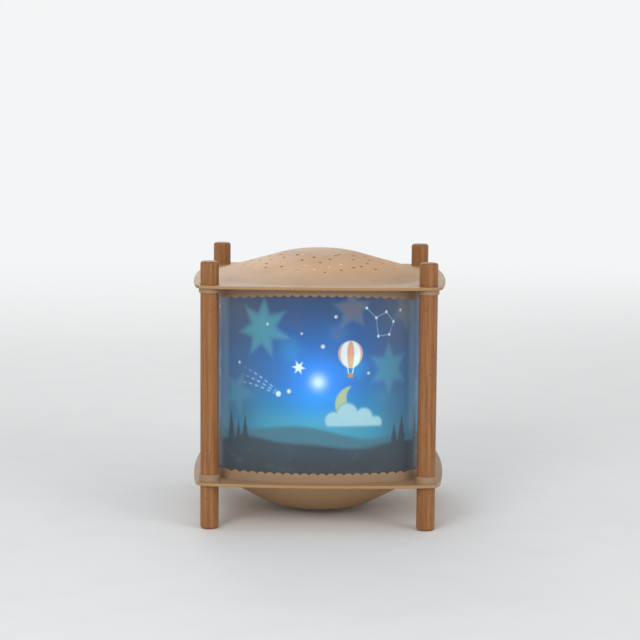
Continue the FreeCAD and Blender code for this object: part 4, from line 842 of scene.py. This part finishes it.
@dataclass(frozen=True)
class FastenerSet(FittingSet):
    """Alike screws or rivets: a shank, a head with a cross recess, or a plain head and a closing one."""

    head: Head
    shank_radius: float
    length: float
    head_radius: float
    head_height: float
    tail_radius: float = 0.0
    tail_height: float = 0.0
    recess_width: float = 0.55 * MM
    recess_depth: float = 0.8 * MM

    def crowned(self, recipe: Recipe, radius: Field, height: Field) -> Socket:
        """A round head that stands on the origin and falls off towards its rim."""
        blank = recipe.add("GeometryNodeMeshCone", {
            "Vertices": 40, "Side Segments": 3, "Fill Segments": 6, "Radius Top": radius,
            "Radius Bottom": radius, "Depth": height})
        x, y, z = recipe.place()
        away = (x * x + y * y) / (radius * radius)
        return recipe.add("GeometryNodeSetPosition",
                          {0: blank, "Position": (x, y, z * (away * away * -0.45 + 1.0))})

    def solid(self, recipe: Recipe) -> Socket:
        """Shapes one fastener, its head up and its bearing or outer face at the origin."""
        shank, length, radius, height = (
            recipe[size] for size in ("shank_radius", "length", "head_radius", "head_height"))
        countersunk = self.head is Head.COUNTERSUNK
        # Each cone: its vertices, lower and upper radius, and its height, which also sinks its top to 0
        cones = [(32, shank, shank, length)] + [(40, shank, radius, height)] * countersunk
        parts = []
        for vertices, lower, upper, depth in cones:
            cone = recipe.add("GeometryNodeMeshCone", {
                "Vertices": vertices, "Radius Bottom": lower, "Radius Top": upper, "Depth": depth})
            parts.append(recipe.add("GeometryNodeTransform",
                                    {0: cone, "Translation": (0.0, 0.0, depth * -1.0)}))
        if not countersunk:
            parts.append(self.crowned(recipe, radius, height))
        if self.tail_height:
            tail = self.crowned(recipe, recipe["tail_radius"], recipe["tail_height"])
            parts.append(recipe.add("GeometryNodeTransform", {
                0: tail, "Rotation": (math.pi, 0.0, 0.0), "Translation": (0.0, 0.0, length * -1.0)}))
        shape = recipe.add("GeometryNodeMeshBoolean", {"Mesh 2": parts}, operation="UNION", solver="EXACT")
        if self.head is Head.RIVET:
            return shape
        top = height * (0.0 if countersunk else 1.0)
        for turned in (False, True):
            sides = (radius * 1.15, recipe["recess_width"])[::-1 if turned else 1]
            bit = recipe.add("GeometryNodeMeshCube", {"Size": (*sides, recipe["recess_depth"] * 2.0)})
            bit = recipe.add("GeometryNodeTransform", {0: bit, "Translation": (0.0, 0.0, top)})
            shape = recipe.add("GeometryNodeMeshBoolean", {"Mesh 1": shape, "Mesh 2": bit},
                               operation="DIFFERENCE", solver="EXACT")
        return shape


@dataclass(frozen=True)
class NutSet(FittingSet):
    """Alike hexagon nuts on their lower face, their corners chamfered at 30 degrees on both faces."""

    across_flats: float
    thickness: float
    bore: float

    def solid(self, recipe: Recipe) -> Socket:
        """Shapes one nut: a hexagon within two cones, drilled."""
        flats, thickness = recipe["across_flats"], recipe["thickness"]
        narrow = flats * 0.475
        wide = narrow + thickness * math.sqrt(3.0)
        corner = flats * (1 / math.sqrt(3.0))
        outlines = []
        for vertices, lower, upper in ((6, corner, corner), (48, wide, narrow), (48, narrow, wide)):
            outlines.append(recipe.add("GeometryNodeMeshCone", {
                "Vertices": vertices, "Radius Bottom": lower, "Radius Top": upper, "Depth": thickness}))
        block = recipe.add("GeometryNodeMeshBoolean", {"Mesh 2": outlines},
                           operation="INTERSECT", solver="EXACT")
        drill = recipe.add("GeometryNodeMeshCylinder",
                           {"Vertices": 40, "Radius": recipe["bore"], "Depth": thickness * 4.0})
        return recipe.add("GeometryNodeMeshBoolean", {"Mesh 1": block, "Mesh 2": drill},
                          operation="DIFFERENCE", solver="EXACT")


class SubAssembly:
    """What each sub-assembly of the lamp can do."""

    def dress(self, finish: Finish, *nodes: str) -> None:
        """Gives the lamp's own solids of these names a finish."""
        for name in nodes:
            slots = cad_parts[name].data.materials
            slots.clear()
            slots.append(material_of(finish))
            log.info("dressed %s in %s", name, finish.name)


@dataclass
class Posts(SubAssembly):
    """Four beech dowels that carry both plates."""

    half_spacing_mm: float = 76.5

    def build(self) -> None:
        """Dresses each dowel as cut from another stretch of wood."""
        corners = (("front_left", -1, -1), ("front_right", 1, -1), ("back_left", -1, 1),
                   ("back_right", 1, 1))
        for place, (name, across, along) in enumerate(corners):
            centre = (self.half_spacing_mm * across, self.half_spacing_mm * along)
            self.dress(BeechDowel(f"oiled_beech_{name}", centre, 1.7 + 4.3 * place), f"post_{name}")


@dataclass
class Tray(SubAssembly):
    """The lower plate with its dish, the vented cover under it and the bush of the cord's way in."""

    underside: float = 4.6 * MM
    screw_circle: float = 23.7 * MM
    screws: FastenerSet = FastenerSet(
        "access_screw_set", "access_screws", Head.COUNTERSUNK, shank_radius=1.2 * MM,
        length=7.0 * MM, head_radius=2.2 * MM, head_height=1.0 * MM)

    def build(self) -> None:
        """Dresses the mouldings and makes the cover's three screws."""
        self.dress(LitMoulding("tan_polypropylene_tray"), "base_tray")
        self.dress(PlainPlastic("beige_polypropylene", "#B0957A", "#A08468", roughness=0.5),
                  "access_cover")
        rubber = PlainPlastic("black_rubber", "#1C1B1A", "#262422", 0.75, grain_mm=0.3, depth_mm=0.04)
        self.dress(rubber, "cord_bush")
        around = Places(self.screw_circle, self.underside, 3, math.pi / 2, math.tau / 3, facing=Facing.DOWN)
        self.screws.build(around, "base", ZINC)


@dataclass
class Cover(SubAssembly):
    """The upper plate with its pierced dome."""

    glow_strength: float = 0.04

    def build(self) -> None:
        """Dresses the moulding, lit through its holes."""
        self.dress(LitMoulding("tan_polypropylene_cover", glow_strength=self.glow_strength, pierced=True),
                   "top_cover")


@dataclass
class PrintedScreen(SubAssembly):
    """The printed sheet between the plates, and the snap rivets of its lap at the back."""

    back: float = 81.5 * MM
    middle_height: float = 102.5 * MM
    rivet_pitch: float = 48.0 * MM
    rivets: FastenerSet = FastenerSet(
        "screen_rivet_set", "screen_rivets", Head.RIVET, shank_radius=1.5 * MM, length=1.3 * MM,
        head_radius=3.0 * MM, head_height=1.1 * MM, tail_radius=2.4 * MM, tail_height=0.88 * MM)

    def build(self) -> None:
        """Dresses the sheet and makes the column of rivets."""
        self.dress(NightPrint("printed_polypropylene_sheet"), "diffuser")
        column = Places(self.back, self.middle_height, 3, math.pi / 2, rise=self.rivet_pitch,
                        facing=Facing.OUTWARDS)
        self.rivets.build(column, "base", NYLON)


@dataclass
class TurningDrum(SubAssembly):
    """What turns: the printed film, the vaned wheel that carries it, its bearing and its lower hoop."""

    radius: float = 48.5 * MM
    rivet_height: float = 159.25 * MM
    rivets: FastenerSet = FastenerSet(
        "drum_rivet_set", "drum_rivets", Head.RIVET, shank_radius=0.9 * MM, length=0.45 * MM,
        head_radius=1.8 * MM, head_height=0.6 * MM)

    def build(self) -> None:
        """Dresses the drum's pieces and makes its rivets."""
        self.dress(DrumPrint("printed_polyester_film"), "drum_film")
        self.dress(WorkedMetal("rolled_aluminium", "#D6D7D8", "#B4B6B8", 0.34, line_mm=(3.0, 0.22, 3.0)),
                   "turbine_wheel")
        self.dress(BRASS, "pivot_cup")
        acrylic = PlainPlastic("clear_acrylic", "#DADCD8", "#CBD0CE", 0.15, grain_mm=1.0, depth_mm=0.005,
                               clear=0.5)
        self.dress(acrylic, "lower_hoop")
        around = Places(self.radius, self.rivet_height, 3, 0.0, math.tau / 3, facing=Facing.OUTWARDS)
        self.rivets.build(around, "rotor", NYLON)


@dataclass
class Lampholder(SubAssembly):
    """The lampholder on its bracket, with the screws and the nut that hold it."""

    screw_half_spacing: float = 35.0 * MM
    bracket_top: float = 25.2 * MM
    nut_underside: float = 21.4 * MM
    screws: FastenerSet = FastenerSet(
        "bracket_screw_set", "bracket_screws", Head.PAN, shank_radius=1.4 * MM, length=12.0 * MM,
        head_radius=2.8 * MM, head_height=2.0 * MM)
    nut: NutSet = NutSet("lampholder_hexagon_nut", "lampholder_nut", across_flats=14.0 * MM,
                         thickness=2.6 * MM, bore=4.95 * MM)

    def build(self) -> None:
        """Dresses the lampholder and makes its screws and nut."""
        self.dress(PlainPlastic("black_thermoset", "#24211E", "#2F2B27", 0.42, grain_mm=0.5),
                   "lampholder_body")
        self.dress(BRASS, "lampholder_shell", "lampholder_contact", "lampholder_terminals")
        self.dress(ZINC, "holder_bracket")
        pair = Places(self.screw_half_spacing, self.bracket_top, 2, 0.0, math.pi)
        self.screws.build(pair, "base", ZINC)
        self.nut.build(Places(0.0, self.nut_underside), "base", ZINC)


@dataclass
class PivotBridge(SubAssembly):
    """The wire arch over the bulb, the nuts of its legs and the needle that the drum turns on."""

    half_span: float = 27.0 * MM
    nut_underside: float = 22.0 * MM
    nuts: NutSet = NutSet("bridge_hexagon_nuts", "bridge_nuts", across_flats=5.5 * MM,
                          thickness=2.0 * MM, bore=1.25 * MM)

    def build(self) -> None:
        """Dresses the arch and the needle and makes the nuts."""
        self.dress(DRAWN_WIRE, "pivot_bridge")
        self.dress(WorkedMetal("ground_needle_steel", "#C9CBCE", "#AEB2B6", 0.18, line_mm=(1.5, 1.5, 0.12)),
                   "pivot_needle")
        self.nuts.build(Places(self.half_span, self.nut_underside, 2, 0.0, math.pi), "base", ZINC)


@dataclass(frozen=True)
class FilamentCoil:
    """A fine coil, bowed between its two supports."""

    half_span: float = 4.85 * MM
    height: float = 93.0 * MM
    rise: float = 1.95 * MM
    radius: float = 0.26 * MM
    wire_radius: float = 0.08 * MM
    turns: float = 24.0

    def build(self) -> None:
        """Makes the coil, a fine helix bowed between its two supports."""
        recipe = Recipe("filament_coil", HotFilament("glowing_tungsten"), numbers_of(self))
        half_span = recipe["half_span"]
        spiral = recipe.add("GeometryNodeCurveSpiral", {
            "Resolution": 14, "Rotations": recipe["turns"], "Start Radius": recipe["radius"],
            "End Radius": recipe["radius"], "Height": half_span * 2.0})
        around, side, along = recipe.place()
        across = along - half_span
        share = across / half_span
        bow = (share * share * -1.0 + 1.0) * recipe["rise"]
        bent = recipe.add("GeometryNodeSetPosition", {
            0: spiral, "Position": (across, side, around + bow + recipe["height"])})
        section = recipe.add("GeometryNodeCurvePrimitiveCircle",
                             {"Resolution": 8, "Radius": recipe["wire_radius"]})
        wire = recipe.add("GeometryNodeCurveToMesh",
                          {"Curve": bent, "Profile Curve": section, "Fill Caps": True})
        stand_in(recipe.bake(wire), "base", "bulb_filament")


@dataclass(frozen=True)
class ThreadedCap:
    """The bulb's screw cap: a thin rolled shell, closed at both ends."""

    radius: float = 6.98 * MM
    wall: float = 0.35 * MM
    bottom: float = 41.5 * MM
    top: float = 62.5 * MM
    thread_start: float = 44.2 * MM
    thread_end: float = 57.0 * MM
    thread_depth: float = 0.55 * MM
    thread_pitch: float = 2.8 * MM
    around: int = 96
    rows: int = 90

    def radius_at(self, angle: float, height: float) -> float:
        """The cap's outer radius at a place: a rolled round thread between plain collars."""
        phase = math.tau * (height - self.thread_start) / self.thread_pitch - angle
        fade = min(height - self.thread_start, self.thread_end - height) / self.thread_pitch
        fade = min(1.0, max(0.0, fade))
        return self.radius - self.thread_depth * (0.5 + 0.5 * math.cos(phase)) * fade

    def build(self) -> None:
        """Makes the cap in place of its plain solid."""
        around, rows = self.around, self.rows
        vertices: list[Vector] = []
        # Up the outer wall and down the inner one
        climb = [(row, 0.0) for row in range(rows + 1)]
        climb += [(row, self.wall) for row in range(rows, -1, -1)]
        for row, inset in climb:
            height = self.bottom + (self.top - self.bottom) * row / rows
            for angle in (math.tau * step / around for step in range(around)):
                radius = self.radius_at(angle, height) - inset
                vertices.append(Vector((radius * math.cos(angle), radius * math.sin(angle), height)))
        faces: list[tuple[int, int, int, int]] = []
        for ring in range(len(climb)):
            below, above = ring * around, (ring + 1) % len(climb) * around
            for step in range(around):
                following = (step + 1) % around
                faces.append((below + step, below + following, above + following, above + step))
        mesh = bpy.data.meshes.new("threaded_cap")
        mesh.from_pydata(vertices, [], faces)
        nickel = WorkedMetal("nickel_plated_brass", "#CFCBC2", "#A8A49C", 0.25, (3.0, 3.0, 0.25))
        mesh.materials.append(material_of(nickel))
        stand_in(new_piece("threaded_cap", mesh), "base", "bulb_cap")


@dataclass
class Bulb(SubAssembly):
    """The small clear bulb: its glass, its coiled filament and its threaded cap."""

    def build(self) -> None:
        """Dresses the bulb's glass and contacts and makes its filament and cap."""
        self.dress(LampGlass("clear_blown_glass", "#FFFFFF"), "bulb_glass")
        self.dress(LampGlass("pressed_stem_glass", "#E6ECEA", 0.12), "bulb_stem")
        self.dress(PlainPlastic("black_vitrite", "#17131A", "#211C22", 0.2, grain_mm=0.8, depth_mm=0.01),
                   "bulb_insulator")
        self.dress(WorkedMetal("tin_solder", "#B5B7BA", "#8E9196", 0.45, line_mm=(1.0, 1.0, 1.0),
                               depth_mm=0.05), "bulb_contact")
        self.dress(DRAWN_WIRE, "filament_supports")
        FilamentCoil().build()
        ThreadedCap().build()


@dataclass
class PhotoCamera:
    """The camera at the photograph's viewing angle, in metres and radians."""

    place: tuple[float, float, float] = (0.0114385, -1.46158, 0.32226)
    yaw: float = -0.0077055
    pitch: float = 0.124346
    roll: float = 0.00790955
    focal_pixels: float = 1995.07
    picture_pixels: float = 640.0
    sensor_mm: float = 36.0

    def build(self) -> None:
        """Makes the camera and sets it as the scene's own."""
        reach = math.cos(self.pitch)
        forward = Vector((math.sin(self.yaw) * reach, math.cos(self.yaw) * reach, -math.sin(self.pitch)))
        level = Vector((math.cos(self.yaw), -math.sin(self.yaw), 0.0))
        upright = level.cross(forward)
        right = level * math.cos(self.roll) + upright * math.sin(self.roll)
        up = upright * math.cos(self.roll) - level * math.sin(self.roll)
        data = bpy.data.cameras.new("photo_camera")
        data.sensor_width = self.sensor_mm
        data.lens = self.focal_pixels * self.sensor_mm / self.picture_pixels
        data.clip_start = 0.01
        camera = bpy.data.objects.new("photo_camera", data)
        bpy.context.scene.collection.objects.link(camera)
        turned = Matrix((right, up, -forward)).transposed().to_4x4()
        camera.matrix_world = Matrix.Translation(self.place) @ turned
        bpy.context.scene.camera = camera
        log.info("camera at %s with a %.1f mm lens", self.place, data.lens)


@dataclass
class Studio:
    """A plain pale floor that fades into a pale world, and three soft lamps."""

    floor_colour: str = "#EDEEEE"
    world_colour: str = "#F4F5F6"
    world_strength: float = 0.6
    floor_radius: float = 6.0
    aim: tuple[float, float, float] = (0.0, 0.0, 0.1)

    def build(self) -> None:
        """Makes the world, the floor and the lamps."""
        self.build_world()
        self.build_floor()
        lamps = (("key_lamp", (-0.8, -1.8, 1.0), 1.0, 16.0), ("fill_lamp", (1.4, -1.3, 0.8), 1.2, 10.0),
                 ("rear_lamp", (-0.3, 1.7, 1.2), 1.2, 8.0))
        for name, place, width, watts in lamps:
            data = bpy.data.lights.new(name, "AREA")
            data.shape = "DISK"
            data.size = width
            data.energy = watts
            lamp = bpy.data.objects.new(name, data)
            bpy.context.scene.collection.objects.link(lamp)
            lamp.location = place
            beam = Vector(self.aim) - Vector(place)
            lamp.rotation_euler = beam.to_track_quat("-Z", "Y").to_euler()
            log.info("lamp %s of %.0f W", name, watts)

    def build_world(self) -> None:
        """Makes the even pale light around the lamp, which the camera and mirrors see as a pale ground."""
        world = bpy.data.worlds.new("studio_world")
        bpy.context.scene.world = world
        world.use_nodes = True
        tree = world.node_tree
        tree.nodes.clear()
        rays = add_node(tree, "ShaderNodeLightPath")
        seen = Field(tree, rays.outputs["Is Camera Ray"])
        seen = seen.apply("MAXIMUM", Field(tree, rays.outputs["Is Glossy Ray"]))
        seen = seen.apply("MAXIMUM", Field(tree, rays.outputs["Is Transmission Ray"]))
        strength = seen * (1.0 - self.world_strength) + self.world_strength
        ground = add_node(tree, "ShaderNodeBackground",
                          {"Color": linear(self.world_colour), "Strength": strength})
        add_node(tree, "ShaderNodeOutputWorld", {"Surface": ground.outputs[0]})

    def build_floor(self) -> None:
        """Makes the floor, which fades out before its edge."""
        steps = 96
        turns = [math.tau * step / steps for step in range(steps)]
        ring = [(self.floor_radius * math.cos(turn), self.floor_radius * math.sin(turn), 0.0)
                for turn in turns]
        mesh = bpy.data.meshes.new("studio_floor")
        mesh.from_pydata(ring, [], [tuple(range(steps))])
        floor = new_piece("studio_floor", mesh)
        surface = Surface("pale_paper")
        x, y, _ = surface.axes_mm()
        distance = (x * x + y * y).apply("SQRT") * MM
        grain = surface.noise(40.0, detail=2.0)
        ink = Ink(surface, self.floor_colour).lay("#E6E8E9", grain.ramp(0.4, 0.8) * 0.4)
        surface.set(Base_Color=ink.colour, Roughness=0.8, Specular_IOR_Level=0.2,
                    Alpha=distance.ramp(2.0, 0.7))
        mesh.materials.append(surface.material)


def main() -> None:
    """Builds the lamp, the camera and the studio in order."""
    logging.basicConfig(level=logging.INFO, format="%(name)s: %(message)s")
    bpy.context.scene.view_settings.view_transform = "Standard"
    for part in (Tray(), Posts(), PrintedScreen(), Lampholder(), Bulb(), PivotBridge(), TurningDrum(),
                 Cover()):
        part.build()
        log.info("finished the %s", type(part).__name__)
    PhotoCamera().build()
    Studio().build()


if __name__ == "__main__":
    main()
